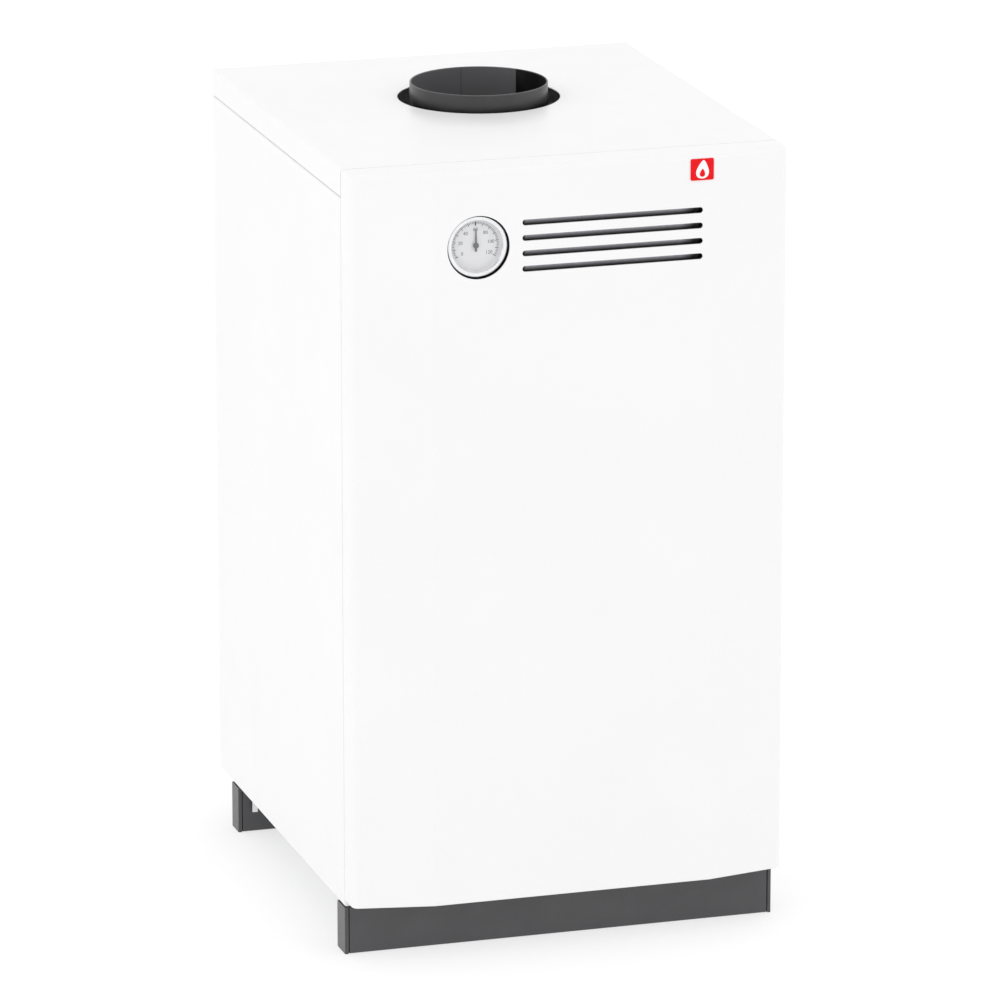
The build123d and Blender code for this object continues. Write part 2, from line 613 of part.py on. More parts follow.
# Zig-zag strips that slow the gas in the fire tubes, each hung from a bar across the tube's mouth.
STRIP = 3.0
ZIG = 12.5
ZIG_Z = [345.0 + 22.0 * step for step in range(10)]
with BuildPart() as turbulators:
    for cx, cy in TUBE_CENTRES:
        with BuildSketch(Plane(origin=(0, cy - 15, 0), x_dir=(1, 0, 0), z_dir=(0, -1, 0))):
            with BuildLine():
                near = [(cx - STRIP / 2 + (ZIG if step % 2 else -ZIG), z) for step, z in enumerate(ZIG_Z)]
                far = [(x + STRIP, z) for x, z in reversed(near)]
                Polyline(near + far, close=True)
            make_face()
        extrude(amount=-30)
        hanger = (cx + ZIG - STRIP / 2, cx + ZIG + STRIP / 2)
        block(hanger, (cy - 6, cy + 6), (ZIG_Z[-1] - 1, BODY_TOP + 4))
        block((cx - 27, cx + 27), (cy - 6, cy + 6), (BODY_TOP + 4, BODY_TOP + 6))
turbulators.part.label = "turbulators"
export_step(turbulators.part, "parts/turbulators.step")

# Gas collector on the top tube plate, narrowing to a round throat.
HOOD_BASE = BODY_TOP + 4
THROAT_Z = 630.0
THROAT_R = 60.0
with BuildPart() as gas_space:
    with BuildSketch(Plane.XY.offset(HOOD_BASE)):
        with Locations((0, FLUE_Y)):
            RectangleRounded(275, 245, 17.5)
    with BuildSketch(Plane.XY.offset(THROAT_Z)):
        with Locations((0, FLUE_Y)):
            Circle(THROAT_R - 2)
    loft()

with BuildPart() as smoke_hood:
    with BuildSketch(Plane.XY.offset(HOOD_BASE)):
        with Locations((0, FLUE_Y)):
            RectangleRounded(280, 250, 20)
    with BuildSketch(Plane.XY.offset(THROAT_Z)):
        with Locations((0, FLUE_Y)):
            Circle(THROAT_R)
    loft()
    rod((0, FLUE_Y, THROAT_Z), (0, 0, 1), THROAT_R, 12)
    add(gas_space.part, mode=Mode.SUBTRACT)
    rod((0, FLUE_Y, THROAT_Z - 1), (0, 0, 1), THROAT_R - 2, 20, Mode.SUBTRACT)
smoke_hood.part.label = "smoke_hood"
export_step(smoke_hood.part, "parts/smoke_hood.step")

# Draught hood above the throat: room air enters through the ring gap between the two.
SKIRT_R = 95.0
SKIRT_Z = 650.0
NECK_Z = 706.0
with BuildPart() as draught_hood:
    turned_z(0, FLUE_Y, [
        (SKIRT_R, SKIRT_Z), (SKIRT_R, SKIRT_Z + 14), (FLUE_R, NECK_Z), (FLUE_R - FLUE_WALL, NECK_Z),
        (SKIRT_R - 1.5, SKIRT_Z + 13.6), (SKIRT_R - 1.5, SKIRT_Z),
    ])
    for turn in (0, 90, 180, 270):
        with Locations(Pos(0, FLUE_Y, 0) * Rot(0, 0, turn)):
            with Locations((SKIRT_R - 15.75, 0, SKIRT_Z + 1.5)):
                Box(31.5, 12, 3)
            with Locations((THROAT_R + 1, 0, SKIRT_Z - 7)):
                Box(2, 12, 20)
draught_hood.part.label = "draught_hood"
export_step(draught_hood.part, "parts/draught_hood.step")

with BuildPart() as flue_collar:
    turned_z(0, FLUE_Y, [
        (FLUE_R, NECK_Z), (FLUE_R, FLUE_TOP - 0.5), (FLUE_R - 0.4, FLUE_TOP),
        (FLUE_R - FLUE_WALL + 0.4, FLUE_TOP), (FLUE_R - FLUE_WALL, FLUE_TOP - 0.5),
        (FLUE_R - FLUE_WALL, NECK_Z),
    ])
flue_collar.part.label = "flue_collar"
export_step(flue_collar.part, "parts/flue_collar.step")

with BuildPart() as draught_thermostat:
    block((-9, 9), (FLUE_Y - SKIRT_R - 2, FLUE_Y - SKIRT_R), (SKIRT_Z - 22, SKIRT_Z + 12))
    rod((0, FLUE_Y - SKIRT_R - 2, SKIRT_Z - 11), (0, -1, 0), 8.5, 9)
    for spade_x in (-4.5, 4.5):
        block(
            (spade_x - 0.4, spade_x + 0.4),
            (FLUE_Y - SKIRT_R - 20, FLUE_Y - SKIRT_R - 11),
            (SKIRT_Z - 14, SKIRT_Z - 8),
        )
draught_thermostat.part.label = "draught_thermostat"
export_step(draught_thermostat.part, "parts/draught_thermostat.step")

# Mineral wool round the boiler body, open over the burner plate.
IN_X = BODY_X + WOOL_GAP
with BuildPart() as insulation_blanket:
    block(
        (-IN_X - WOOL, IN_X + WOOL),
        (BODY_FRONT - WOOL_GAP - WOOL, BODY_REAR + WOOL_GAP + WOOL),
        (BODY_BOTTOM + 5, BODY_TOP),
    )
    fillet(insulation_blanket.edges().filter_by(Axis.Z), 12)
    block((-IN_X, IN_X), (BODY_FRONT - WOOL_GAP, BODY_REAR + WOOL_GAP), (0, 600), Mode.SUBTRACT)
    block((-134, 134), (BODY_FRONT - 30, BODY_FRONT + 5), (0, 216), Mode.SUBTRACT)
    rod((WELL[0], BODY_FRONT - 30, WELL[1]), (0, 1, 0), 15, 35, Mode.SUBTRACT)
    for pipe_z in (SUPPLY_Z, RETURN_Z):
        rod((0, BODY_REAR - 5, pipe_z), (0, 1, 0), WATER_R + 1.5, 40, Mode.SUBTRACT)
insulation_blanket.part.label = "insulation_blanket"
export_step(insulation_blanket.part, "parts/insulation_blanket.step")


def water_pipe(level):
    """A pipe stub from the water space out through the rear panel."""
    with BuildPart() as stub:
        rod((0, BODY_REAR - PLATE, level), (0, 1, 0), WATER_R, PIPE_END - BODY_REAR + PLATE)
        rod((0, PIPE_END, level), (0, -1, 0), WATER_THREAD_R, WATER_THREAD)
        rod((0, BODY_REAR - 10, level), (0, 1, 0), WATER_BORE, 120, Mode.SUBTRACT)
    return stub.part


with BuildPart() as supply_pipe:
    add(water_pipe(SUPPLY_Z))
supply_pipe.part.label = "supply_pipe"
export_step(supply_pipe.part, "parts/supply_pipe.step")

with BuildPart() as return_pipe:
    add(water_pipe(RETURN_Z))
return_pipe.part.label = "return_pipe"
export_step(return_pipe.part, "parts/return_pipe.step")

# Two channel rails that carry the boiler body on the casing floor.
RAIL_BOTTOM = FLOOR_Z + 1.5
with BuildPart() as boiler_supports:
    for side in (-1, 1):
        block(
            sorted((side * 125, side * BODY_X)),
            (BODY_FRONT + 10, BODY_REAR - 10),
            (RAIL_BOTTOM, BODY_BOTTOM),
        )
        block(
            sorted((side * 120, side * 152)),
            (BODY_FRONT, BODY_REAR),
            (RAIL_BOTTOM + 3, BODY_BOTTOM - 3),
            Mode.SUBTRACT,
        )
boiler_supports.part.label = "boiler_supports"
export_step(boiler_supports.part, "parts/boiler_supports.step")

# Radiation shield and drip tray under the firebox, on four short legs.
with BuildPart() as drip_tray:
    block((-122, 122), (CHAMBER_FRONT + 8, CHAMBER_REAR - 8), (66, 80))
    block((-120.8, 120.8), (CHAMBER_FRONT + 9.2, CHAMBER_REAR - 9.2), (67.2, 81), Mode.SUBTRACT)
    for leg_x in (-114, 114):
        for leg_y in (CHAMBER_FRONT + 16, CHAMBER_REAR - 16):
            rod((leg_x, leg_y, RAIL_BOTTOM), (0, 0, 1), 5, 66 - RAIL_BOTTOM)
drip_tray.part.label = "drip_tray"
export_step(drip_tray.part, "parts/drip_tray.step")

# ---- burner unit ----

SIGHT = (99.0, 150.0)
SIGHT_PIN_Z = 168.0
PORT_X = {"pilot": -35.0, "spark": -47.0, "couple": -22.0}

# Mounting plate with the valve shelf bent forward and up from its top edge.
with BuildPart() as burner_plate:
    block((-130, 130), (PLATE_FRONT, PLATE_FRONT + PLATE), (97, 211))
    fillet(burner_plate.edges().filter_by(Axis.Y), 6)
    block((-30, 30), (VALVE_BACK, PLATE_FRONT), (204, 207))
    block((-30, 30), (VALVE_BACK, VALVE_BACK + 2), (207, 290))
    block((-80, -30), (VALVE_BACK, VALVE_BACK + 2), (250, 280))
    for tube_x in BURNER_X:
        rod((tube_x, PLATE_FRONT - 5, BURNER_Z), (0, 1, 0), NECK_R, 20, Mode.SUBTRACT)
    rod((SIGHT[0], PLATE_FRONT - 2, SIGHT[1]), (0, 1, 0), 11.5, 2)
    rod((SIGHT[0], PLATE_FRONT - 5, SIGHT[1]), (0, 1, 0), 9.5, 5, Mode.SUBTRACT)
    rod((SIGHT[0], PLATE_FRONT - 5, SIGHT[1]), (0, 1, 0), 7.0, 20, Mode.SUBTRACT)
    rod((SIGHT[0], PLATE_FRONT - 6.5, SIGHT_PIN_Z), (0, 1, 0), 2.0, 6.5)
    rod((SIGHT[0], PLATE_FRONT - 7.7, SIGHT_PIN_Z), (0, 1, 0), 3.6, 1.2)
    rod((SIGHT[0], PLATE_FRONT - 2.0, SIGHT_PIN_Z), (0, 1, 0), 3.6, 2.0)
    for name, hole_r in (("pilot", 2.0), ("spark", 3.5), ("couple", 1.5)):
        rod((PORT_X[name], PLATE_FRONT - 5, PILOT_Z), (0, 1, 0), hole_r, 20, Mode.SUBTRACT)
    rod((PIEZO_X, VALVE_BACK - 5, VALVE_Z), (0, 1, 0), 9.0, 20, Mode.SUBTRACT)
    with BuildSketch(Plane(origin=(0, PLATE_FRONT - 1, 154), x_dir=(1, 0, 0), z_dir=(0, -1, 0))):
        with GridLocations(244, 98, 2, 2):
            Circle(3.2)
        with GridLocations(120, 98, 2, 2):
            Circle(3.2)
    extrude(amount=-20, mode=Mode.SUBTRACT)
burner_plate.part.label = "burner_plate"
export_step(burner_plate.part, "parts/burner_plate.step")

with BuildPart() as burner_gasket:
    block((-130, 130), (BODY_FRONT - GASKET, BODY_FRONT), (97, 211))
    block((-105, 105), (BODY_FRONT - 5, BODY_FRONT + 5), (112, 188), Mode.SUBTRACT)
    with BuildSketch(Plane(origin=(0, PLATE_FRONT - 1, 154), x_dir=(1, 0, 0), z_dir=(0, -1, 0))):
        with GridLocations(244, 98, 2, 2):
            Circle(3.2)
        with GridLocations(120, 98, 2, 2):
            Circle(3.2)
    extrude(amount=-20, mode=Mode.SUBTRACT)
burner_gasket.part.label = "burner_gasket"
export_step(burner_gasket.part, "parts/burner_gasket.step")

# Studs and nuts that hold the plate, eight alike.
with BuildPart() as plate_nuts:
    for span in (244, 120):
        for spot in GridLocations(span, 98, 2, 2).locations:
            start = (spot.position.X, PLATE_FRONT, 154 + spot.position.Y)
            nut(start, (0, -1, 0), 10, 5)
            rod(start, (0, -1, 0), 3.0, 9)
            rod(start, (0, 1, 0), 3.0, PLATE + GASKET)
plate_nuts.part.label = "plate_nuts"
export_step(plate_nuts.part, "parts/plate_nuts.step")

# Three tubular burners: flared mouth, narrow neck, wide tube with cross slots along the top.
TUBE_END = CHAMBER_REAR - 22
SLOTS = 20
with BuildPart() as burner_tubes:
    for tube_x in BURNER_X:
        turned_y(tube_x, BURNER_Z, [
            (17.0, -128), (NECK_R, -113), (NECK_R, -96), (BURNER_R, -74), (BURNER_R, TUBE_END - 3),
            (BURNER_R - 3, TUBE_END), (0, TUBE_END), (0, TUBE_END - 1.5),
            (BURNER_R - 3.6, TUBE_END - 1.5), (BURNER_R - 1.5, TUBE_END - 3.6), (BURNER_R - 1.5, -73.4),
            (NECK_R - 1.5, -95.5), (NECK_R - 1.5, -113.4), (15.6, -128),
        ])
    slot_step = (TUBE_END - 20 + 50) / SLOTS
    with BuildSketch(Plane.XY.offset(BURNER_Z + 12)):
        for tube_x in BURNER_X:
            with Locations((tube_x, (TUBE_END - 20 - 50) / 2)):
                with GridLocations(0, slot_step, 1, SLOTS):
                    Rectangle(18, 1.6)
    extrude(amount=20, mode=Mode.SUBTRACT)
burner_tubes.part.label = "burner_tubes"
export_step(burner_tubes.part, "parts/burner_tubes.step")

# Comb plate that carries the closed ends of the three tubes.
with BuildPart() as burner_rest:
    block((-108, 108), (TUBE_END - 16, TUBE_END - 13.5), (124, 164))
    for tube_x in BURNER_X:
        rod((tube_x, TUBE_END - 30, BURNER_Z), (0, 1, 0), BURNER_R, 30, Mode.SUBTRACT)
    for side in (-1, 1):
        block(
            sorted((side * 105.5, side * (CHAMBER_X - PLATE))),
            (TUBE_END - 16, TUBE_END - 13.5),
            (124, 136),
        )
burner_rest.part.label = "burner_rest"
export_step(burner_rest.part, "parts/burner_rest.step")

# Square gas rail in front of the mouths, with a riser to the valve and two feet on the plate.
RAIL_BACK = MANIFOLD_Y + MANIFOLD_HALF
MANIFOLD_TOP = BURNER_Z + MANIFOLD_HALF
FOOT_Z = (BURNER_Z - 30, BURNER_Z - 14)
with BuildPart() as gas_manifold:
    block((-98, 98), (MANIFOLD_Y - MANIFOLD_HALF, RAIL_BACK), (BURNER_Z - MANIFOLD_HALF, MANIFOLD_TOP))
    fillet(gas_manifold.edges().filter_by(Axis.X), 2)
    rod((0, MANIFOLD_Y, BURNER_Z), (0, 0, 1), 9.0, 72)
    for side in (-1, 1):
        end = sorted((side * 98, side * 100.5))
        block(end, (MANIFOLD_Y - MANIFOLD_HALF, RAIL_BACK), (FOOT_Z[0], MANIFOLD_TOP))
        block(end, (RAIL_BACK, PLATE_FRONT), FOOT_Z)
        block(sorted((side * 100.5, side * 112)), (PLATE_FRONT - 2.5, PLATE_FRONT), FOOT_Z)
    block((-96, 96), (MANIFOLD_Y - 9, RAIL_BACK - 2), (BURNER_Z - 9, BURNER_Z + 9), Mode.SUBTRACT)
    rod((0, MANIFOLD_Y, BURNER_Z), (0, 0, 1), 7.0, 80, Mode.SUBTRACT)
    for tube_x in BURNER_X:
        rod((tube_x, RAIL_BACK - 5, BURNER_Z), (0, 1, 0), 1.5, 10, Mode.SUBTRACT)
gas_manifold.part.label = "gas_manifold"
export_step(gas_manifold.part, "parts/gas_manifold.step")

with BuildPart() as injectors:
    for tube_x in BURNER_X:
        nut((tube_x, RAIL_BACK, BURNER_Z), (0, 1, 0), 11, 5)
        turned_y(tube_x, BURNER_Z, [
            (0, RAIL_BACK + 5), (4.5, RAIL_BACK + 5), (4.5, RAIL_BACK + 8), (2.2, RAIL_BACK + 13),
            (0, RAIL_BACK + 13),
        ])
        rod((tube_x, RAIL_BACK - 1, BURNER_Z), (0, 1, 0), 1.0, 20, Mode.SUBTRACT)
injectors.part.label = "injectors"
export_step(injectors.part, "parts/injectors.step")

with BuildPart() as pilot_burner:
    block((-58, -12), (-66, -64.5), (173, 191))
    block((-58, -56.5), (BODY_FRONT - GASKET, -64.5), (176, 187))
    for name, hole_r in (("spark", 3.5), ("couple", 3.0)):
        rod((PORT_X[name], -70, PILOT_Z), (0, 1, 0), hole_r, 10, Mode.SUBTRACT)
    rod((PORT_X["pilot"], -75, PILOT_Z), (0, 1, 0), 4.5, 26)
    nut((PORT_X["pilot"], -75, PILOT_Z), (0, 1, 0), 10, 6)
    block((PORT_X["pilot"] - 8, PORT_X["pilot"] + 8), (-49, -38), (PILOT_Z + 5, PILOT_Z + 6.2))
    block((PORT_X["pilot"] - 8, PORT_X["pilot"] + 8), (-50.2, -49), (PILOT_Z - 5, PILOT_Z + 6.2))
    rod((PORT_X["pilot"], -76, PILOT_Z), (0, 1, 0), 2.0, 12, Mode.SUBTRACT)
pilot_burner.part.label = "pilot_burner"
export_step(pilot_burner.part, "parts/pilot_burner.step")

with BuildPart() as pilot_tube:
    tube_run(
        [
            (22, -131, 236), (22, -131, 214), (PORT_X["pilot"], -131, PILOT_Z),
            (PORT_X["pilot"], -64, PILOT_Z),
        ],
        [14, 9], 1.9,
    )
pilot_tube.part.label = "pilot_tube"
export_step(pilot_tube.part, "parts/pilot_tube.step")

with BuildPart() as thermocouple:
    tube_run(
        [
            (PORT_X["couple"], -141, 236), (PORT_X["couple"], -141, PILOT_Z),
            (PORT_X["couple"], -80, PILOT_Z),
        ],
        [14], 1.4,
    )
    rod((PORT_X["couple"], -80, PILOT_Z), (0, 1, 0), 3.0, 32)
    nut((PORT_X["couple"], -141, 230), (0, 0, 1), 9, 6)
thermocouple.part.label = "thermocouple"
export_step(thermocouple.part, "parts/thermocouple.step")

with BuildPart() as spark_electrode:
    rod((PORT_X["spark"], -124, PILOT_Z), (0, 1, 0), 3.4, 64)
    rod((PORT_X["spark"], -60, PILOT_Z), (0, 1, 0), 0.9, 12)
    rod((PORT_X["spark"], -48.9, PILOT_Z), (1, 0.2, 0.2), 0.9, 6)
spark_electrode.part.label = "spark_electrode"
export_step(spark_electrode.part, "parts/spark_electrode.step")

# Cover flap that hangs on its pin in front of the sight glass.
with BuildPart() as sight_cover:
    flap_origin = (SIGHT[0], PLATE_FRONT - 2.3, SIGHT[1])
    with BuildSketch(Plane(origin=flap_origin, x_dir=(1, 0, 0), z_dir=(0, -1, 0))):
        Circle(13)
        with BuildLine():
            Polyline((-11, 7), (11, 7), (5, 20), (-5, 20), close=True)
        make_face()
        with Locations((0, SIGHT_PIN_Z - SIGHT[1])):
            Circle(5.5)
            Circle(2.0 + FIT, mode=Mode.SUBTRACT)
    extrude(amount=1.5)
    block(
        (SIGHT[0] - 4, SIGHT[0] + 4),
        (PLATE_FRONT - 10, PLATE_FRONT - 3.5),
        (SIGHT[1] - 13.5, SIGHT[1] - 12),
    )
sight_cover.part.label = "sight_cover"
export_step(sight_cover.part, "parts/sight_cover.step")

with BuildPart() as sight_glass:
    rod((SIGHT[0], PLATE_FRONT - 1.4, SIGHT[1]), (0, 1, 0), 9.5, 1.4)
sight_glass.part.label = "sight_glass"
export_step(sight_glass.part, "parts/sight_glass.step")

# ---- gas valve and ignition ----

STEM_R = 5.0
STEM_TRAVEL = 5.0
BOSS_FRONT = VALVE_FRONT - 8
with BuildPart() as gas_valve:
    block((-40, 40), (VALVE_FRONT, VALVE_BACK), (236, 294))
    fillet(gas_valve.edges(), 4)
    rod((0, BOSS_FRONT, VALVE_Z), (0, 1, 0), 23, 12)
    rod((36, -150, GAS_Z), (1, 0, 0), 15, 16)
    nut((36, -150, GAS_Z), (1, 0, 0), 34, 8)
    rod((0, -150, 222), (0, 0, 1), 13, 18)
    rod((-20, -150, 290), (0, 0, 1), 6, 10)
    rod((20, -148, 290), (0, 0, 1), 11, 9)
    for nipple_x in (-29, 29):
        rod((nipple_x, VALVE_FRONT - 7, 246), (0, 1, 0), 4, 10)
        nut((nipple_x, VALVE_FRONT - 3, 246), (0, 1, 0), 10, 4)
    rod((22, -131, 230), (0, 0, 1), 5, 10)
    for corner_x in (-33, 33):
        rod((corner_x, VALVE_FRONT - 1.5, 286), (0, 1, 0), 3.2, 4)
    rod((0, BOSS_FRONT - 1, VALVE_Z), (0, 1, 0), STEM_R + FIT, 41, Mode.SUBTRACT)
    rod((0, -150, 221), (0, 0, 1), 9.0, 12, Mode.SUBTRACT)
    rod((22, -131, 229), (0, 0, 1), 1.9, 8, Mode.SUBTRACT)
    rod((-20, -150, 294), (0, 0, 1), 0.8, 10, Mode.SUBTRACT)
gas_valve.part.label = "gas_valve"
export_step(gas_valve.part, "parts/gas_valve.step")

STEM_BACK = BOSS_FRONT + 34
with BuildPart() as valve_stem:
    rod((0, -210, VALVE_Z), (0, 1, 0), STEM_R, STEM_BACK + 210)
valve_stem.part.label = "valve_stem"
export_step(valve_stem.part, "parts/valve_stem.step")

KNOB_FRONT = -213.0
KNOB_BACK = BOSS_FRONT - STEM_TRAVEL - 1.0
with BuildPart() as valve_knob:
    turned_y(0, VALVE_Z, [
        (0, KNOB_FRONT), (17.5, KNOB_FRONT), (19, KNOB_FRONT + 1.5), (19, KNOB_BACK - 4),
        (22, KNOB_BACK - 3), (22, KNOB_BACK), (STEM_R + FIT, KNOB_BACK),
        (STEM_R + FIT, KNOB_FRONT + 2.5), (0, KNOB_FRONT + 2.5),
    ])
    with BuildSketch(Plane(origin=(0, KNOB_FRONT, VALVE_Z), x_dir=(1, 0, 0), z_dir=(0, -1, 0))):
        with PolarLocations(20.2, 18):
            Circle(2.2)
    extrude(amount=-(KNOB_BACK - 4 - KNOB_FRONT), mode=Mode.SUBTRACT)
    block((-1, 1), (KNOB_FRONT - 0.8, KNOB_FRONT + 1), (VALVE_Z + 5, VALVE_Z + 16))
valve_knob.part.label = "valve_knob"
export_step(valve_knob.part, "parts/valve_knob.step")

with BuildPart() as union_nuts:
    nut((52, -150, GAS_Z), (1, 0, 0), 32, 18)
    rod((51, -150, GAS_Z), (1, 0, 0), GAS_R, 30, Mode.SUBTRACT)
    nut((0, -150, 206), (0, 0, 1), 26, 16)
    rod((0, -150, 200), (0, 0, 1), 9.0, 30, Mode.SUBTRACT)
union_nuts.part.label = "union_nuts"
export_step(union_nuts.part, "parts/union_nuts.step")

# Gas inlet: from the union, round the right side of the boiler body, out at the rear.
GAS_BORE = 8.0
GAS_BEND = 30.0
GAS_THREAD_START = PIPE_END - GAS_THREAD
with BuildPart() as gas_bore:
    tube_run(
        [(51, -150, GAS_Z), (GAS_X, -150, GAS_Z), (GAS_X, PIPE_END + 1, GAS_Z)],
        [GAS_BEND], GAS_BORE,
    )

with BuildPart() as gas_inlet_pipe:
    tube_run(
        [(52, -150, GAS_Z), (GAS_X, -150, GAS_Z), (GAS_X, GAS_THREAD_START, GAS_Z)],
        [GAS_BEND], GAS_R,
    )
    rod((GAS_X, GAS_THREAD_START, GAS_Z), (0, 1, 0), GAS_THREAD_R, GAS_THREAD)
    add(gas_bore.part, mode=Mode.SUBTRACT)
gas_inlet_pipe.part.label = "gas_inlet_pipe"
export_step(gas_inlet_pipe.part, "parts/gas_inlet_pipe.step")

PIEZO_FRONT = -186.0
with BuildPart() as piezo_body:
    turned_y(PIEZO_X, VALVE_Z, [
        (6.05, PIEZO_FRONT), (11, PIEZO_FRONT), (11, PIEZO_FRONT + 4), (9, PIEZO_FRONT + 4),
        (9, VALVE_BACK + 2), (0, VALVE_BACK + 2), (0, -150), (6.05, -150),
    ])
    nut((PIEZO_X, VALVE_BACK - 5, VALVE_Z), (0, 1, 0), 22, 5)
    rod((PIEZO_X, -134, VALVE_Z - 14), (0, 0, 1), 3.0, 8)
piezo_body.part.label = "piezo_body"
export_step(piezo_body.part, "parts/piezo_body.step")

with BuildPart() as piezo_button:
    turned_y(PIEZO_X, VALVE_Z, [
        (0, PIEZO_FRONT - 8), (5, PIEZO_FRONT - 8), (6.0, PIEZO_FRONT - 7),
        (6.0, PIEZO_FRONT + 26), (0, PIEZO_FRONT + 26),
    ])
piezo_button.part.label = "piezo_button"
export_step(piezo_button.part, "parts/piezo_button.step")

# High-tension lead from the igniter down to the spark electrode.
with BuildPart() as ignition_lead:
    tube_run(
        [
            (PIEZO_X, -134, VALVE_Z - 14), (PIEZO_X, -134, 228), (-60, -152, 200),
            (PORT_X["spark"], -154, PILOT_Z), (PORT_X["spark"], -124, PILOT_Z),
        ],
        [16, 14, 9], 2.5,
    )
ignition_lead.part.label = "ignition_lead"
export_step(ignition_lead.part, "parts/ignition_lead.step")

# Self-tapping screws of the rear panel and lid, all alike.
SCREW_SPOTS = [(x, z) for x in (-HALF + 7, HALF - 7) for z in (80, 290, 480, 690)]
SCREW_SPOTS += [(x, 732) for x in (-150, 150)]
with BuildPart() as case_screws:
    for x, z in SCREW_SPOTS:
        turned_y(x, z, [(0, REAR), (4.2, REAR), (3.6, REAR + 1.6), (2.0, REAR + 2.3), (0, REAR + 2.4)])
        nut((x, REAR + 3, z), (0, -1, 0), 2.5, 1.5, Mode.SUBTRACT)
case_screws.part.label = "case_screws"
export_step(case_screws.part, "parts/case_screws.step")
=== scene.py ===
"""Looks of a floor-standing gas boiler with its burner unit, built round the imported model."""

import json
import math

import bmesh
import bpy
from mathutils import Matrix, Vector, noise


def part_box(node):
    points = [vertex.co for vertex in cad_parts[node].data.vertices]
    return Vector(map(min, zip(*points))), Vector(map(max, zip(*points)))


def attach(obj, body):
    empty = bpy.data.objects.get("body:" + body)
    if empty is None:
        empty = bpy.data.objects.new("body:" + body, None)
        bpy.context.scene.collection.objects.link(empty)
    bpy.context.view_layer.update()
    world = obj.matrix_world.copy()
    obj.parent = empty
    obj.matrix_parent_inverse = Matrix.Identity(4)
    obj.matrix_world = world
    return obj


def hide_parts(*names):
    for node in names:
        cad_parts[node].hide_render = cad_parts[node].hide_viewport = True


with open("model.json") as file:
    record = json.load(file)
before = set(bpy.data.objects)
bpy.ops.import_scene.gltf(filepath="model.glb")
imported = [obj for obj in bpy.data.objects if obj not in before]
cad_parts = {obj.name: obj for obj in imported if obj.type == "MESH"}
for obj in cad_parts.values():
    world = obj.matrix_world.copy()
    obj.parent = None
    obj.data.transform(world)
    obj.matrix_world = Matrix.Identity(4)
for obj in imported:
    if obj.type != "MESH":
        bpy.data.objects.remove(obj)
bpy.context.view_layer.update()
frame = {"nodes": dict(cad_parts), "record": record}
NODES = frame["nodes"]
SCENE = bpy.context.scene
MM = 0.001

# ---------------------------------------------------------------- small helpers


def mount(name):
    """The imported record's entry of one mount."""
    return next(m for m in frame["record"]["mounts"] if m["name"] == name)


def middle(node):
    """Centre of a CAD node's box."""
    low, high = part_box(node)
    return (low + high) / 2


def new_piece(name, mesh, body, slot, material=None):
    """A finished mesh becomes a piece that rides on a body, in its slot's material if none is given."""
    piece = bpy.data.objects.new(name, mesh)
    SCENE.collection.objects.link(piece)
    mesh.materials.clear()
    mesh.materials.append(material or SLOT_MATERIALS[slot])
    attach(piece, body)
    return piece


def mesh_from(bm, name):
    """A mesh datablock from a bmesh, with normals facing out."""
    bmesh.ops.recalc_face_normals(bm, faces=bm.faces)
    mesh = bpy.data.meshes.new(name)
    bm.to_mesh(mesh)
    bm.free()
    return mesh


def evaluated_mesh(holder):
    """The mesh of an object with its modifiers applied, or of a text curve."""
    bpy.context.view_layer.update()
    graph = bpy.context.evaluated_depsgraph_get()
    return bpy.data.meshes.new_from_object(holder.evaluated_get(graph))


def front_plane(centre):
    """Turns local (right, up, towards the viewer) into the row frame, at a point on a front face."""
    return Matrix.Translation(centre) @ Matrix(((1, 0, 0, 0), (0, 0, -1, 0), (0, 1, 0, 0), (0, 0, 0, 1)))


def plate(bm, outline, thick, place):
    """A closed flat plate: outline points (x, y) extruded from 0 to thick, then placed."""
    low = [bm.verts.new(place @ Vector((x, y, 0))) for x, y in outline]
    high = [bm.verts.new(place @ Vector((x, y, thick))) for x, y in outline]
    bm.faces.new(list(reversed(low)))
    bm.faces.new(high)
    for i in range(len(outline)):
        j = (i + 1) % len(outline)
        bm.faces.new((low[i], low[j], high[j], high[i]))


def rings(loops):
    """A bmesh of quads between successive rings of points, and from the last ring back to the first."""
    bm = bmesh.new()
    rows = [[bm.verts.new(p) for p in loop] for loop in loops]
    for a, b in zip(rows, rows[1:] + rows[:1]):
        for i in range(len(a)):
            j = (i + 1) % len(a)
            bm.faces.new((a[i], a[j], b[j], b[i]))
    return bm


def full_turn(steps):
    """Angles of a whole circle, evenly spaced."""
    return [2 * math.pi * i / steps for i in range(steps)]


def lathe(profile, place, steps):
    """A closed ring solid: (radius, height) corners turned about local Z, then placed."""
    loops = []
    for radius, height in profile:
        corners = [Vector((radius * math.cos(t), radius * math.sin(t), height)) for t in full_turn(steps)]
        loops.append([place @ corner for corner in corners])
    return rings(loops)


def shade_by_angle(obj, degrees=32):
    """Smooth shading that keeps hard edges sharp."""
    mesh = obj.data
    mesh.polygons.foreach_set("use_smooth", [True] * len(mesh.polygons))
    mesh.set_sharp_from_angle(angle=math.radians(degrees))


# ---------------------------------------------------------------- materials


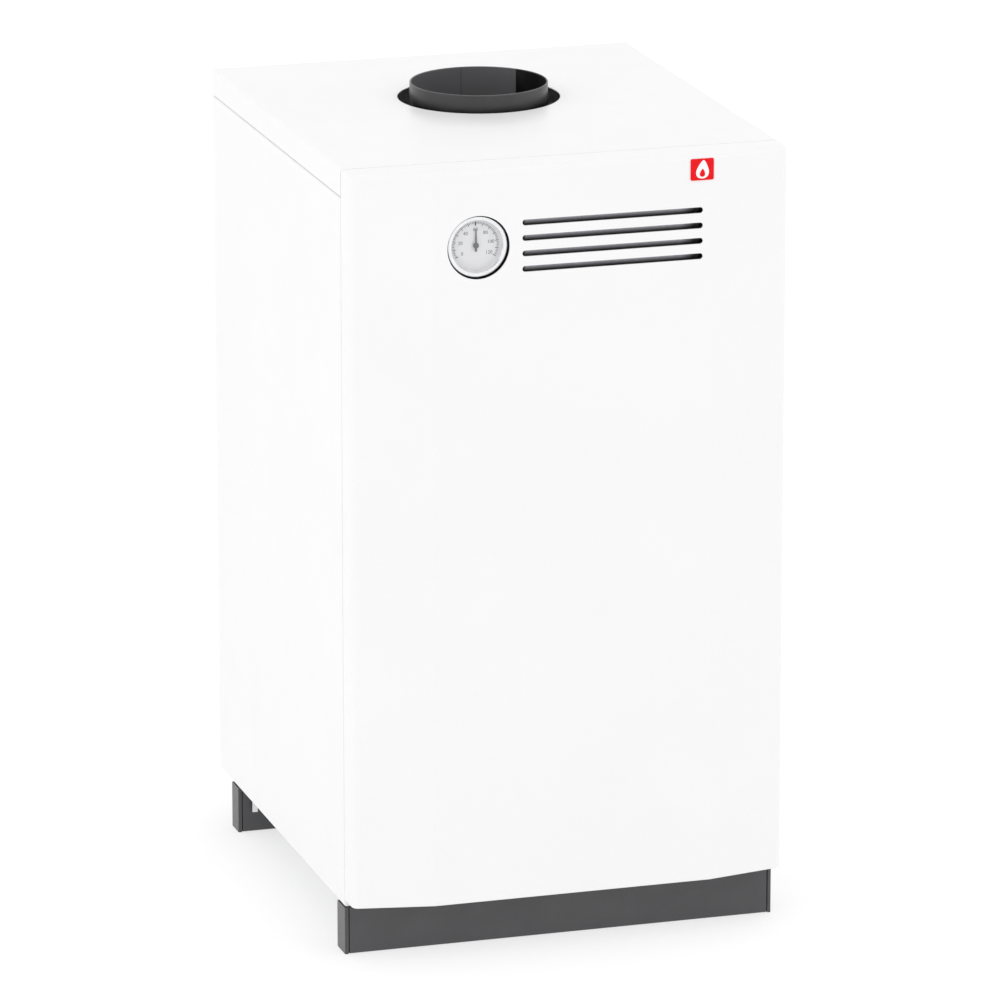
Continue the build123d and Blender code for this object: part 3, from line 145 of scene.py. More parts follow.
class Shader:
    """A procedural material: a Principled shader with helpers for the nodes round it."""

    def __init__(self, name, colour, roughness, metallic=0.0, **sockets):
        self.material = bpy.data.materials.new(name)
        self.material.use_nodes = True
        self.tree = self.material.node_tree
        self.bsdf = self.tree.nodes["Principled BSDF"]
        self.bsdf.inputs["Base Color"].default_value = (*colour, 1)
        self.bsdf.inputs["Roughness"].default_value = roughness
        self.bsdf.inputs["Metallic"].default_value = metallic
        for socket, value in sockets.items():
            self.bsdf.inputs[socket.replace("_", " ")].default_value = value
        self.colour = None
        self.rough = None
        self.normal = None
        self.base = colour
        self.where = self.add("ShaderNodeTexCoord").outputs["Object"]

    def add(self, kind, **inputs):
        """A new node with its named inputs set or linked."""
        node = self.tree.nodes.new(kind)
        for socket, value in inputs.items():
            self.feed(node, socket.replace("_", " "), value)
        return node

    def feed(self, node, socket, value):
        """Links a socket to an input, or sets the input to a plain value."""
        target = node.inputs[socket]
        if isinstance(value, bpy.types.NodeSocket):
            self.tree.links.new(value, target)
        else:
            target.default_value = value

    def stretched(self, scale):
        """Object coordinates scaled per axis, for brushed or drawn surfaces."""
        mapping = self.add("ShaderNodeMapping", Vector=self.where)
        mapping.inputs["Scale"].default_value = scale
        return mapping.outputs["Vector"]

    def noise(self, scale, detail=3.0, roughness=0.5, distortion=0.0, where=None):
        """Cloudy noise from 0 to 1; scale is in cells per metre."""
        node = self.add(
            "ShaderNodeTexNoise", Vector=where or self.where, Scale=scale, Detail=detail,
            Roughness=roughness, Distortion=distortion,
        )
        return node.outputs["Fac"]

    def along(self, axis):
        """The coordinate along one row axis, in metres."""
        return self.add("ShaderNodeSeparateXYZ", Vector=self.where).outputs[axis]

    def compute(self, operation, *values):
        """A Math node over sockets or numbers."""
        node = self.tree.nodes.new("ShaderNodeMath")
        node.operation = operation
        for index, value in enumerate(values):
            self.feed(node, index, value)
        return node.outputs["Value"]

    def vector(self, operation, value, other=None):
        """A Vector Math node on a vector socket and, where it takes two, a second vector."""
        node = self.tree.nodes.new("ShaderNodeVectorMath")
        node.operation = operation
        self.feed(node, 0, value)
        if other is not None:
            self.feed(node, 1, other)
        return node.outputs["Value" if operation in ("LENGTH", "DOT_PRODUCT") else "Vector"]

    def cells(self, scale, output="Distance"):
        """A cell pattern: the distance to the cell's middle, or the cell's own random colour."""
        return self.add("ShaderNodeTexVoronoi", Vector=self.where, Scale=scale).outputs[output]

    def span(self, value, low, high, to_low=0.0, to_high=1.0):
        """Maps a value from one range to another, clamped."""
        node = self.add("ShaderNodeMapRange", Value=value)
        for socket, number in zip(("From Min", "From Max", "To Min", "To Max"), (low, high, to_low, to_high)):
            self.feed(node, socket, number)
        return node.outputs["Result"]

    def blend_colour(self, factor, other):
        """Mixes another colour over the colour so far, where factor is 1."""
        factor_in, first_in, second_in, result_out = 0, 6, 7, 2
        node = self.tree.nodes.new("ShaderNodeMix")
        node.data_type = "RGBA"
        self.tree.links.new(factor, node.inputs[factor_in])
        self.feed(node, first_in, self.colour or (*self.base, 1))
        self.feed(node, second_in, (*other, 1))
        self.colour = node.outputs[result_out]

    def vary_rough(self, factor, low, high):
        """Roughness between low and high, over the middle range of a noise."""
        self.rough = self.span(factor, 0.3, 0.7, low, high)

    def bump(self, height, strength, distance):
        """Adds relief on top of the relief so far."""
        node = self.add("ShaderNodeBump", Height=height, Strength=strength, Distance=distance)
        if self.normal is not None:
            self.tree.links.new(self.normal, node.inputs["Normal"])
        self.normal = node.outputs["Normal"]

    def edges(self, radius):
        """1 on outside edges, where a small bevel would turn the normal away."""
        slight_turn, full_wear = 0.98, 0.75
        bevel = self.add("ShaderNodeBevel", Radius=radius)
        bevel.samples = 4
        plain = self.add("ShaderNodeNewGeometry").outputs["Normal"]
        agreement = self.vector("DOT_PRODUCT", bevel.outputs["Normal"], plain)
        return self.span(agreement, slight_turn, full_wear)

    def done(self):
        """Links what was built to the shader and hands the material over."""
        for socket, name in ((self.colour, "Base Color"), (self.rough, "Roughness"), (self.normal, "Normal")):
            if socket is not None:
                self.tree.links.new(socket, self.bsdf.inputs[name])
        return self.material


def white_paint():
    """Smooth white powder coat with faint orange peel and a barely uneven tone."""
    s = Shader("white_paint", (0.862, 0.855, 0.859), 0.34, Coat_Weight=0.15, Coat_Roughness=0.12)
    s.blend_colour(s.span(s.noise(9, 4), 0.35, 0.75), (0.850, 0.843, 0.847))
    s.blend_colour(s.span(s.noise(900, 2), 0.62, 0.8, 0.0, 0.35), (0.82, 0.814, 0.817))
    s.vary_rough(s.noise(28, 5), 0.29, 0.38)
    s.bump(s.noise(330, 2.0, 0.4), 0.16, 0.0006)
    s.bump(s.noise(2100, 2.0), 0.05, 0.0002)
    return s.done()


def graphite_paint():
    """Fine-textured graphite powder coat of the feet and the cross rail."""
    s = Shader("graphite_paint", (0.060, 0.060, 0.063), 0.34)
    s.blend_colour(s.span(s.noise(40, 5), 0.3, 0.7), (0.052, 0.052, 0.055))
    s.blend_colour(s.span(s.cells(2600), 0.0, 0.35, 0.6, 0.0), (0.095, 0.095, 0.1))
    s.vary_rough(s.noise(1500, 3), 0.27, 0.42)
    s.blend_colour(s.edges(0.0009), (0.15, 0.15, 0.155))
    s.bump(s.noise(1900, 3.0, 0.6), 0.3, 0.0002)
    return s.done()


def blade_paint():
    """Grey louvre blades with painted light and shade: a painted highlight makes each slot's upper part paler
    under its top edge, painted shade darkens it towards the bottom, and a painted shadow blackens the right
    end.
    """
    low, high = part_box("vent_blades")
    blade_drop = 10.2 * MM
    pitch = (high.z - low.z - blade_drop) / 3
    painted_shade_below, painted_light_above = low.z + 0.6 * MM, low.z + 5.9 * MM
    painted_shadow_start, painted_shadow_end = high.x - 17 * MM, high.x - 5 * MM
    s = Shader("blade_paint", (0.07, 0.07, 0.074), 0.5)
    level_on_blade = s.compute("WRAP", s.along("Z"), low.z + pitch, low.z)
    # Painted light and shade: paler near each slot's top edge, darker towards its bottom.
    s.blend_colour(s.span(level_on_blade, painted_shade_below, painted_light_above), (0.40, 0.395, 0.43))
    s.blend_colour(s.span(s.noise(300, 3), 0.45, 0.7, 0.0, 0.3), (0.12, 0.12, 0.125))
    # Painted shadow: black towards the blades' right end.
    s.blend_colour(s.span(s.along("X"), painted_shadow_start, painted_shadow_end), (0.01, 0.01, 0.01))
    s.vary_rough(s.noise(1500, 3), 0.42, 0.6)
    s.bump(s.noise(1900, 3.0, 0.6), 0.2, 0.0002)
    return s.done()


def hood_enamel(name, shade, gloss):
    """Dull heat-resistant paint of the hoods under the lid."""
    s = Shader(name, (shade, shade, shade * 1.05), 0.5, Specular_IOR_Level=gloss)
    s.blend_colour(s.span(s.noise(22, 5), 0.35, 0.7), (shade * 1.6, shade * 1.6, shade * 1.65))
    s.vary_rough(s.noise(60, 4), 0.45, 0.65)
    s.bump(s.noise(1200, 3), 0.18, 0.0003)
    return s.done()


def collar_enamel():
    """Graphite enamel, paler on its edges, turned black below the lid as painted shade; inside it is paler as
    painted light on the inner wall, with a dark seam and a painted black shadow over one sector.
    """
    axis = mount("flue_collar")["pos_m"]
    lid_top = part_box("lid")[1].z
    shade_below_lid, unshaded_above_lid = lid_top - 4 * MM, lid_top + 1.5 * MM
    inner_face, wall_middle = 64.0 * MM, 64.4 * MM
    towards_shadow_sector = (0.956, -0.293, 0)
    seam, seam_half = -16.9 * MM, 0.5 * MM
    shadow_sector_start, shadow_sector_end = 34.6 * MM, 35.2 * MM
    s = Shader("collar_enamel", (0.036, 0.036, 0.038), 0.36)
    s.blend_colour(s.span(s.noise(22, 5), 0.35, 0.7), (0.05, 0.05, 0.053))
    offset = s.vector("SUBTRACT", s.where, (axis[0], axis[1], 0))
    flat = s.vector("MULTIPLY", offset, (1, 1, 0))
    inside = s.span(s.vector("LENGTH", flat), inner_face, wall_middle, 1.0, 0.0)
    # Painted shade: the collar turns black below the lid.
    s.blend_colour(s.span(s.along("Z"), shade_below_lid, unshaded_above_lid, 1.0, 0.0), (0.002, 0.002, 0.002))
    # Painted light: the inner wall is made paler than the outside.
    s.blend_colour(inside, (0.115, 0.115, 0.12))
    side = s.vector("DOT_PRODUCT", flat, towards_shadow_sector)
    before_seam = s.span(side, seam - seam_half, seam)
    after_seam = s.span(side, seam, seam + seam_half, 1.0, 0.0)
    seam_line = s.compute("MULTIPLY", before_seam, after_seam)
    s.blend_colour(s.compute("MULTIPLY", inside, seam_line), (0.03, 0.03, 0.03))
    # Painted shadow: one sector of the inner wall turns black.
    shadow_sector_mask = s.span(side, shadow_sector_start, shadow_sector_end)
    s.blend_colour(s.compute("MULTIPLY", inside, shadow_sector_mask), (0.001, 0.001, 0.001))
    s.vary_rough(s.noise(60, 4), 0.28, 0.44)
    s.blend_colour(s.edges(0.0008), (0.22, 0.22, 0.225))
    s.bump(s.noise(6, 3, 0.5, 0.0, s.stretched((1, 1, 60))), 0.08, 0.0008)
    s.bump(s.noise(1200, 3), 0.18, 0.0003)
    return s.done()


def zinc_sheet():
    """Hot-dip galvanised sheet with its crystal spangle."""
    s = Shader("zinc_sheet", (0.60, 0.61, 0.62), 0.38, 0.9)
    tone = s.cells(95, "Color")
    grey = s.add("ShaderNodeSeparateColor", Color=tone).outputs["Red"]
    s.blend_colour(s.span(grey, 0.0, 1.0), (0.50, 0.515, 0.53))
    s.blend_colour(s.span(s.noise(14, 5), 0.5, 0.8, 0.0, 0.5), (0.42, 0.43, 0.44))
    s.rough = s.span(grey, 0.0, 1.0, 0.28, 0.5)
    s.bump(s.noise(700, 3), 0.12, 0.0002)
    return s.done()


def boiler_steel():
    """Dark grey primer on welded black plate."""
    s = Shader("boiler_steel", (0.12, 0.12, 0.125), 0.55)
    s.blend_colour(s.span(s.noise(18, 6), 0.4, 0.75), (0.085, 0.083, 0.082))
    s.blend_colour(s.span(s.noise(70, 8, 0.7), 0.62, 0.72), (0.16, 0.105, 0.075))
    s.vary_rough(s.noise(120, 4), 0.45, 0.68)
    s.bump(s.noise(420, 4), 0.3, 0.0005)
    return s.done()


def stainless():
    """Drawn stainless steel with straw and blue heat tints."""
    s = Shader("stainless", (0.60, 0.585, 0.56), 0.3, 1.0)
    grain = s.noise(60, 4, 0.6, 0.0, s.stretched((30, 1, 30)))
    s.blend_colour(s.span(s.noise(25, 5), 0.45, 0.7, 0.0, 0.8), (0.52, 0.40, 0.24))
    s.blend_colour(s.span(s.noise(38, 5, 0.6, 1.0), 0.56, 0.72, 0.0, 0.7), (0.22, 0.25, 0.38))
    s.vary_rough(grain, 0.24, 0.42)
    s.bump(grain, 0.12, 0.0002)
    return s.done()


def bright_zinc():
    """Bright zinc plate of screws, nuts and pins."""
    s = Shader("bright_zinc", (0.72, 0.72, 0.70), 0.26, 1.0)
    s.blend_colour(s.span(s.noise(900, 3), 0.45, 0.7), (0.60, 0.60, 0.57))
    s.vary_rough(s.noise(1500, 3), 0.2, 0.36)
    s.bump(s.noise(2600, 3), 0.12, 0.0001)
    return s.done()


def turned_metal(name, colour, dull, roughness):
    """Turned brass or drawn copper with slight tarnish."""
    s = Shader(name, colour, roughness, 1.0)
    s.blend_colour(s.span(s.noise(160, 5), 0.45, 0.75), dull)
    s.vary_rough(s.noise(500, 4), roughness - 0.06, roughness + 0.12)
    s.blend_colour(s.edges(0.0005), tuple(min(1, c * 1.25) for c in colour))
    s.bump(s.noise(1400, 3), 0.1, 0.0002)
    return s.done()


def cast_aluminium():
    """Shot-blasted die casting."""
    s = Shader("cast_aluminium", (0.58, 0.59, 0.60), 0.48, 0.95)
    s.blend_colour(s.span(s.noise(60, 6), 0.4, 0.7), (0.47, 0.48, 0.49))
    s.vary_rough(s.noise(900, 4), 0.4, 0.6)
    s.blend_colour(s.edges(0.0007), (0.74, 0.75, 0.76))
    s.bump(s.noise(1500, 4, 0.6), 0.32, 0.0003)
    return s.done()


def painted_pipe(name, colour, dark):
    """Brushed-on gloss paint of the gas pipe and rail."""
    s = Shader(name, colour, 0.32)
    s.blend_colour(s.span(s.noise(45, 5), 0.4, 0.72), dark)
    s.vary_rough(s.noise(150, 4), 0.26, 0.42)
    s.bump(s.noise(260, 3, 0.5, 0.4), 0.2, 0.0004)
    return s.done()


def plastic(name, colour, roughness=0.45):
    """Moulded plastic with a fine spark-eroded grain."""
    s = Shader(name, colour, roughness)
    s.blend_colour(s.span(s.noise(70, 4), 0.4, 0.7), tuple(c * 0.82 for c in colour))
    s.vary_rough(s.noise(800, 3), roughness - 0.06, roughness + 0.08)
    s.blend_colour(s.edges(0.0004), tuple(min(1, c * 1.5 + 0.02) for c in colour))
    s.bump(s.noise(2600, 3), 0.18, 0.0002)
    return s.done()


def bezel_metal():
    """Bright plated ring of the thermometer, faintly uneven."""
    s = Shader("bezel_metal", (0.86, 0.865, 0.875), 0.16, 1.0)
    s.vary_rough(s.noise(400, 4), 0.1, 0.22)
    s.blend_colour(s.span(s.noise(120, 4), 0.45, 0.8), (0.78, 0.785, 0.8))
    s.bump(s.noise(900, 2), 0.03, 0.0001)
    return s.done()


def dial_paint():
    """Silk-matt light grey dial."""
    s = Shader("dial_paint", (0.775, 0.775, 0.79), 0.42)
    s.blend_colour(s.span(s.noise(160, 4), 0.4, 0.7), (0.755, 0.755, 0.77))
    s.vary_rough(s.noise(1200, 3), 0.36, 0.5)
    s.bump(s.noise(3000, 3), 0.08, 0.0001)
    return s.done()


def printed_ink():
    """Dark grey printing of the scale."""
    s = Shader("printed_ink", (0.09, 0.095, 0.1), 0.5)
    s.blend_colour(s.span(s.noise(2500, 3), 0.5, 0.8), (0.14, 0.145, 0.15))
    s.vary_rough(s.noise(1800, 2), 0.44, 0.58)
    return s.done()


def clear_glass():
    """Thin instrument glass: clear face on, and a mirror only where it is seen edge on."""
    s = Shader("clear_glass", (0.97, 0.975, 0.98), 0.03, 1.0)
    s.vary_rough(s.noise(60, 4), 0.015, 0.05)
    grazing = s.add("ShaderNodeLayerWeight", Blend=0.5).outputs["Facing"]
    mirror = s.compute("POWER", grazing, 5.0)
    s.feed(s.bsdf, "Alpha", s.span(mirror, 0.0, 1.0, 0.025, 0.9))
    return s.done()


def badge_red():
    """Satin red enamel of the badge."""
    s = Shader("badge_red", (0.80, 0.008, 0.012), 0.3, Specular_IOR_Level=0.12)
    s.blend_colour(s.span(s.noise(140, 3), 0.4, 0.7), (0.74, 0.006, 0.010))
    s.vary_rough(s.noise(400, 3), 0.24, 0.36)
    s.bump(s.noise(500, 2), 0.04, 0.0002)
    return s.done()


def badge_white():
    """White enamel of the emblem."""
    s = Shader("badge_white", (0.9, 0.9, 0.9), 0.28)
    s.blend_colour(s.span(s.noise(600, 3), 0.4, 0.7), (0.86, 0.86, 0.86))
    s.vary_rough(s.noise(700, 3), 0.22, 0.36)
    return s.done()


def foil():
    """Aluminium facing of the mineral wool, creased over the fibres."""
    s = Shader("foil", (0.74, 0.745, 0.755), 0.33, 1.0)
    s.blend_colour(s.span(s.noise(30, 6), 0.45, 0.75), (0.62, 0.625, 0.635))
    s.vary_rough(s.noise(90, 5), 0.26, 0.46)
    s.bump(s.noise(70, 6, 0.65, 1.2), 0.5, 0.0022)
    s.bump(s.noise(420, 4), 0.25, 0.0006)
    return s.done()


def fibre(name, colour):
    """Pressed ceramic-fibre card or foam."""
    s = Shader(name, colour, 0.9)
    s.blend_colour(s.span(s.noise(300, 6, 0.7), 0.4, 0.7), tuple(c * 0.8 for c in colour))
    s.vary_rough(s.noise(500, 3), 0.82, 0.96)
    s.bump(s.noise(1100, 5, 0.7), 0.5, 0.0005)
    return s.done()


def silicone():
    """Soft sleeve of the high-tension lead."""
    s = Shader("silicone", (0.36, 0.05, 0.035), 0.5, Subsurface_Weight=0.05)
    s.blend_colour(s.span(s.noise(200, 4), 0.4, 0.7), (0.29, 0.04, 0.03))
    s.vary_rough(s.noise(600, 3), 0.42, 0.6)
    s.bump(s.noise(1400, 3), 0.12, 0.0002)
    return s.done()


def ceramic():
    """Glazed alumina of the spark electrode."""
    s = Shader("ceramic", (0.82, 0.80, 0.75), 0.2, Coat_Weight=0.4, Coat_Roughness=0.08)
    s.blend_colour(s.span(s.noise(260, 4), 0.5, 0.8), (0.74, 0.71, 0.65))
    s.vary_rough(s.noise(700, 3), 0.15, 0.3)
    return s.done()


SLOT_MATERIALS = {
    "white_paint": white_paint(),
    "graphite_paint": graphite_paint(),
    "flue_enamel": hood_enamel("hood_enamel", 0.034, 0.5),
    "zinc_sheet": zinc_sheet(),
    "boiler_steel": boiler_steel(),
    "stainless": stainless(),
    "zinc_fixings": bright_zinc(),
    "brass": turned_metal("brass", (0.74, 0.54, 0.24), (0.58, 0.42, 0.2), 0.26),
    "copper": turned_metal("copper", (0.76, 0.43, 0.29), (0.55, 0.31, 0.2), 0.3),
    "cast_aluminium": cast_aluminium(),
    "manifold_steel": painted_pipe("manifold_paint", (0.05, 0.05, 0.053), (0.036, 0.036, 0.038)),
    "gas_pipe_paint": painted_pipe("gas_pipe_paint", (0.66, 0.46, 0.05), (0.56, 0.38, 0.04)),
    "black_plastic": plastic("black_plastic", (0.026, 0.026, 0.028)),
    "button_plastic": plastic("button_plastic", (0.42, 0.02, 0.02), 0.36),
    "bezel": bezel_metal(),
    "gauge_case": plastic("gauge_case", (0.03, 0.03, 0.032), 0.5),
    "dial_face": dial_paint(),
    "pointer_paint": plastic("pointer_paint", (0.125, 0.13, 0.14), 0.4),
    "clear_glass": clear_glass(),
    "badge_red": badge_red(),
    "mineral_wool": foil(),
    "seal_foam": fibre("seal_foam", (0.03, 0.03, 0.03)),
    "fibre_gasket": fibre("fibre_gasket", (0.62, 0.6, 0.55)),
    "silicone": silicone(),
    "ceramic": ceramic(),
    "sensor_metal": cast_aluminium(),
}
INK = printed_ink()
EMBLEM_WHITE = badge_white()

for part in frame["record"]["subparts"]:
    node = NODES[part["node"]]
    node.data.materials.clear()
    node.data.materials.append(SLOT_MATERIALS[part["material_slot"]])
    shade_by_angle(node)
NODES["vent_blades"].data.materials[0] = blade_paint()
NODES["flue_collar"].data.materials[0] = collar_enamel()
# Painted shade: a near-black, duller copy of the hood paint darkens the draught hood seen in the gap round
# the collar.
NODES["draught_hood"].data.materials[0] = hood_enamel("draught_hood_painted_shade", 0.006, 0.12)

# ---------------------------------------------------------------- camera, floor and light

AIM = Vector((0.0085, 0.0, 0.3606))
AZIMUTH = math.radians(-17.024)
ELEVATION = math.radians(15.56)
DISTANCE = 7.007
LENS = 266.28
SENSOR_WIDTH = 36
FLOOR_HALF = 9


def make_camera():
    """The long lens of the product shot, aimed a little right of the casing's middle."""
    camera = bpy.data.objects.new("camera", bpy.data.cameras.new("camera"))
    SCENE.collection.objects.link(camera)
    back = Vector((
        math.sin(AZIMUTH) * math.cos(ELEVATION),
        -math.cos(AZIMUTH) * math.cos(ELEVATION),
        math.sin(ELEVATION),
    ))
    camera.location = AIM + back * DISTANCE
    camera.rotation_mode = "QUATERNION"
    camera.rotation_quaternion = (-back).to_track_quat("-Z", "Y")
    camera.data.lens = LENS
    camera.data.sensor_width = SENSOR_WIDTH
    camera.data.clip_end = 100
    SCENE.camera = camera


def make_floor():
    """A plain pale floor."""
    bm = bmesh.new()
    bmesh.ops.create_grid(bm, x_segments=4, y_segments=4, size=FLOOR_HALF)
    floor = bpy.data.objects.new("floor", mesh_from(bm, "floor"))
    SCENE.collection.objects.link(floor)
    s = Shader("floor_paint", (0.36, 0.36, 0.36), 0.9, Emission_Strength=0.64)
    s.blend_colour(s.span(s.noise(1.5, 3), 0.3, 0.7), (0.35, 0.35, 0.35))
    s.bsdf.inputs["Emission Color"].default_value = (1, 1, 1, 1)
    floor.data.materials.append(s.done())


def area_light(name, place, size, watts):
    """A large soft box that faces the middle of the casing."""
    target = Vector((0, 0, 0.4))
    light = bpy.data.objects.new(name, bpy.data.lights.new(name, "AREA"))
    SCENE.collection.objects.link(light)
    light.data.shape = "RECTANGLE"
    light.data.size, light.data.size_y = size
    light.data.energy = watts
    light.location = place
    light.rotation_mode = "QUATERNION"
    light.rotation_quaternion = (target - Vector(place)).to_track_quat("-Z", "Y")


def make_light():
    """A white surround with two large soft boxes."""
    world = bpy.data.worlds.new("studio")
    SCENE.world = world
    world.use_nodes = True
    background = world.node_tree.nodes["Background"]
    background.inputs["Color"].default_value = (1, 1, 1, 1)
    background.inputs["Strength"].default_value = 1.06
    area_light("key", (-3.4, -1.6, 1.6), (2.2, 2.2), 12)
    area_light("fill", (3.2, -1.9, 1.4), (2.5, 2.0), 8)
    SCENE.view_settings.view_transform = "Standard"


make_camera()
make_floor()
make_light()

# ---------------------------------------------------------------- thermometer

DIAL_LOW, DIAL_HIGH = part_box("thermometer_dial")
DIAL = Vector(((DIAL_LOW.x + DIAL_HIGH.x) / 2, DIAL_LOW.y, (DIAL_LOW.z + DIAL_HIGH.z) / 2))
INK_THICK = 0.06 * MM
DEGREES_PER_UNIT = 2.0
MID_SCALE = 60
TOP_SCALE = 120
TICK_OUTER = 22.0 * MM
TEN_INNER = 18.9 * MM
TEN_WIDTH = 0.7 * MM
TWO_INNER = 19.9 * MM
TWO_WIDTH = 0.5 * MM
MARK_INNER = 18.2 * MM
MARK_WIDTH = 1.2 * MM
DIAL_FIGURE_RADIUS = 14.6 * MM
DIAL_FIGURE_SIZE = 4.5 * MM


def scale_turn(value):
    """Clockwise angle from the top of the dial for a temperature."""
    return math.radians((value - MID_SCALE) * DEGREES_PER_UNIT)


def tick(bm, place, turn, inner, outer, width):
    """One printed line of a scale, as a thin raised strip."""
    along = Vector((math.sin(turn), math.cos(turn)))
    across = Vector((along.y, -along.x)) * width / 2
    corners = [along * inner - across, along * inner + across, along * outer + across, along * outer - across]
    plate(bm, [(c.x, c.y) for c in reversed(corners)], INK_THICK, place)


def on_circle(radius, turn):
    """A shift from the centre of a face, clockwise from its top."""
    return Matrix.Translation((radius * math.sin(turn), radius * math.cos(turn), 0))


def digits(name, text, size, place, body, slot, material):
    """Flat printed figures, centred on a point of a front-facing surface."""
    curve = bpy.data.curves.new(name, "FONT")
    curve.body = text
    curve.size = size
    curve.align_x = "CENTER"
    curve.align_y = "CENTER"
    curve.resolution_u = 4
    curve.extrude = INK_THICK / 2
    holder = bpy.data.objects.new(name + "_outline", curve)
    SCENE.collection.objects.link(holder)
    mesh = evaluated_mesh(holder)
    bpy.data.objects.remove(holder)
    mesh.transform(place @ Matrix.Translation((0, 0, INK_THICK / 2)))
    bm = bmesh.new()
    bm.from_mesh(mesh)
    bmesh.ops.remove_doubles(bm, verts=bm.verts, dist=1e-7)
    return new_piece(name, mesh_from(bm, name), body, slot, material)


def dial_printing():
    """Ring of ticks every 2 from 0 to 120, longer at the tens, the figures, and a mark at the top."""
    place = front_plane(DIAL)
    bm = bmesh.new()
    for value in range(0, TOP_SCALE + 1, 2):
        inner, width = (TEN_INNER, TEN_WIDTH) if value % 10 == 0 else (TWO_INNER, TWO_WIDTH)
        tick(bm, place, scale_turn(value), inner, TICK_OUTER, width)
    tick(bm, place, scale_turn(MID_SCALE), MARK_INNER, TICK_OUTER, MARK_WIDTH)
    new_piece("dial_ticks", mesh_from(bm, "dial_ticks"), "casing", "dial_face", INK)
    for value in range(0, TOP_SCALE + 1, 20):
        spot = place @ on_circle(DIAL_FIGURE_RADIUS, scale_turn(value))
        digits(f"dial_figure_{value}", str(value), DIAL_FIGURE_SIZE, spot, "casing", "dial_face", INK)


def dial_funnel():
    """Pale cone between the dial and the glass; the ring hides its outer edge."""
    foot_inner, foot_outer, foot_level = 23.0, 23.3, 0.05
    rim_inner, rim_outer, rim_under, rim_top = 24.6, 25.6, 3.3, 3.45
    profile = [
        (foot_inner, foot_level), (foot_outer, foot_level), (rim_outer, rim_under),
        (rim_outer, rim_top), (rim_inner, rim_top),
    ]
    mesh = mesh_from(lathe([(r * MM, h * MM) for r, h in profile], front_plane(DIAL), 96), "dial_funnel")
    shade_by_angle(new_piece("dial_funnel", mesh, "casing", "dial_face"))


dial_printing()
dial_funnel()

# ---------------------------------------------------------------- badge


def flame(name, place, half_width, bottom, top, lean, level, thick):
    """A drop-shaped plate, narrow at the top and leaning a little; sizes in millimetres."""
    outline = []
    for turn in full_turn(48):
        lift = (1 - math.cos(turn)) / 2
        width = half_width * math.sin(turn) * (1.15 - 0.75 * lift)
        outline.append(((width + lean * lift * lift) * MM, (bottom + (top - bottom) * lift) * MM))
    bm = bmesh.new()
    plate(bm, outline, thick * MM, place @ Matrix.Translation((0, 0, level * MM)))
    return mesh_from(bm, name)


def badge_emblem():
    """A plain white flame that fills most of the red badge, with a red drop in its middle."""
    low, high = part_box("badge")
    place = front_plane(Vector(((low.x + high.x) / 2, low.y, (low.z + high.z) / 2)))
    outer = flame("badge_flame", place, half_width=7.2, bottom=-8.4, top=8.6, lean=1.2, level=0.0, thick=0.18)
    inner = flame("badge_drop", place, half_width=3.0, bottom=-6.8, top=0.6, lean=0.3, level=0.18, thick=0.12)
    new_piece("badge_flame", outer, "door", "badge_red", EMBLEM_WHITE)
    new_piece("badge_drop", inner, "door", "badge_red")


badge_emblem()

# ---------------------------------------------------------------- pipes with real threads

RIGHT = Vector((1, 0, 0))
UP = Vector((0, 0, 1))
THREAD_STEPS = 10
WATER_PIPE_RADIUS = 23.0 * MM
WATER_BORE = 20.0 * MM
WATER_PITCH = 2.309 * MM
WATER_THREAD_DEPTH = 1.4 * MM
GAS_PIPE_RADIUS = 10.65 * MM
GAS_BORE = 8.0 * MM
GAS_PITCH = 1.814 * MM
GAS_THREAD_DEPTH = 1.1 * MM
GAS_BEND = 30.0 * MM
BEND_STEPS = 14


def thread_cut(turn, along, length, pitch, depth):
    """How far a rounded thread lies below its crests at a place; it runs out at both ends."""
    phase = (along / pitch - turn / (2 * math.pi)) % 1.0
    wave = 0.5 - 0.5 * math.cos(2 * math.pi * phase)
    lead = min(1.0, (length - along) / pitch)
    root = min(1.0, along / (0.8 * pitch))
    return depth * (wave * root + (1.0 - lead) * 0.8)


def steady(radius):
    """The same radius at every angle."""
    return lambda turn: radius


def circle_at(row, radius, segments):
    """A ring of points square to the pipe at a spine row (centre, right, up, radius at an angle)."""
    centre, right, up, _ = row
    return [centre + (right * math.cos(t) + up * math.sin(t)) * radius(t) for t in full_turn(segments)]


def tube_mesh(name, spine, bore_rows, bore, segments):
    """A bored pipe: its outside follows the spine, and its bore comes back along the bore rows."""
    outside = [circle_at(row, row[-1], segments) for row in spine]
    inside = [circle_at(row, steady(bore), segments) for row in bore_rows]
    return mesh_from(rings(outside + inside), name)


def threaded_run(start, length, crest, pitch, depth):
    """Spine rows of a thread that runs towards +Y."""
    count = int(length / pitch * THREAD_STEPS)
    rows = []
    for i in range(count + 1):
        along = length * i / count
        rows.append((
            start + Vector((0, along, 0)), RIGHT, UP,
            lambda t, along=along: crest - thread_cut(t, along, length, pitch, depth),
        ))
    return rows


def pipe_piece(node, name, mesh, slot):
    """A threaded pipe takes the place of the plain CAD pipe."""
    piece = new_piece(name, mesh, "casing", slot)
    shade_by_angle(piece, 50)
    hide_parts(node)


def water_pipe(node, mount_name):
    """A straight pipe stub of the boiler body with its G1 1/2 thread cut at the outer end."""
    low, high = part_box(node)
    dims = mount(mount_name)["dims"]
    crest, length = dims["r_mm"] * MM, dims["length_mm"] * MM
    runout = 0.6 * MM
    centre = Vector(((low.x + high.x) / 2, low.y, (low.z + high.z) / 2))
    thread_start = Vector((centre.x, high.y - length, centre.z))
    plain = steady(WATER_PIPE_RADIUS)
    spine = [(centre, RIGHT, UP, plain), (thread_start - Vector((0, runout, 0)), RIGHT, UP, plain)]
    spine += threaded_run(thread_start, length, crest, WATER_PITCH, WATER_THREAD_DEPTH)
    bore_rows = (spine[-1], spine[len(spine) // 2], spine[0])
    name = node + "_threaded"
    pipe_piece(node, name, tube_mesh(name, spine, bore_rows, WATER_BORE, 96), "boiler_steel")


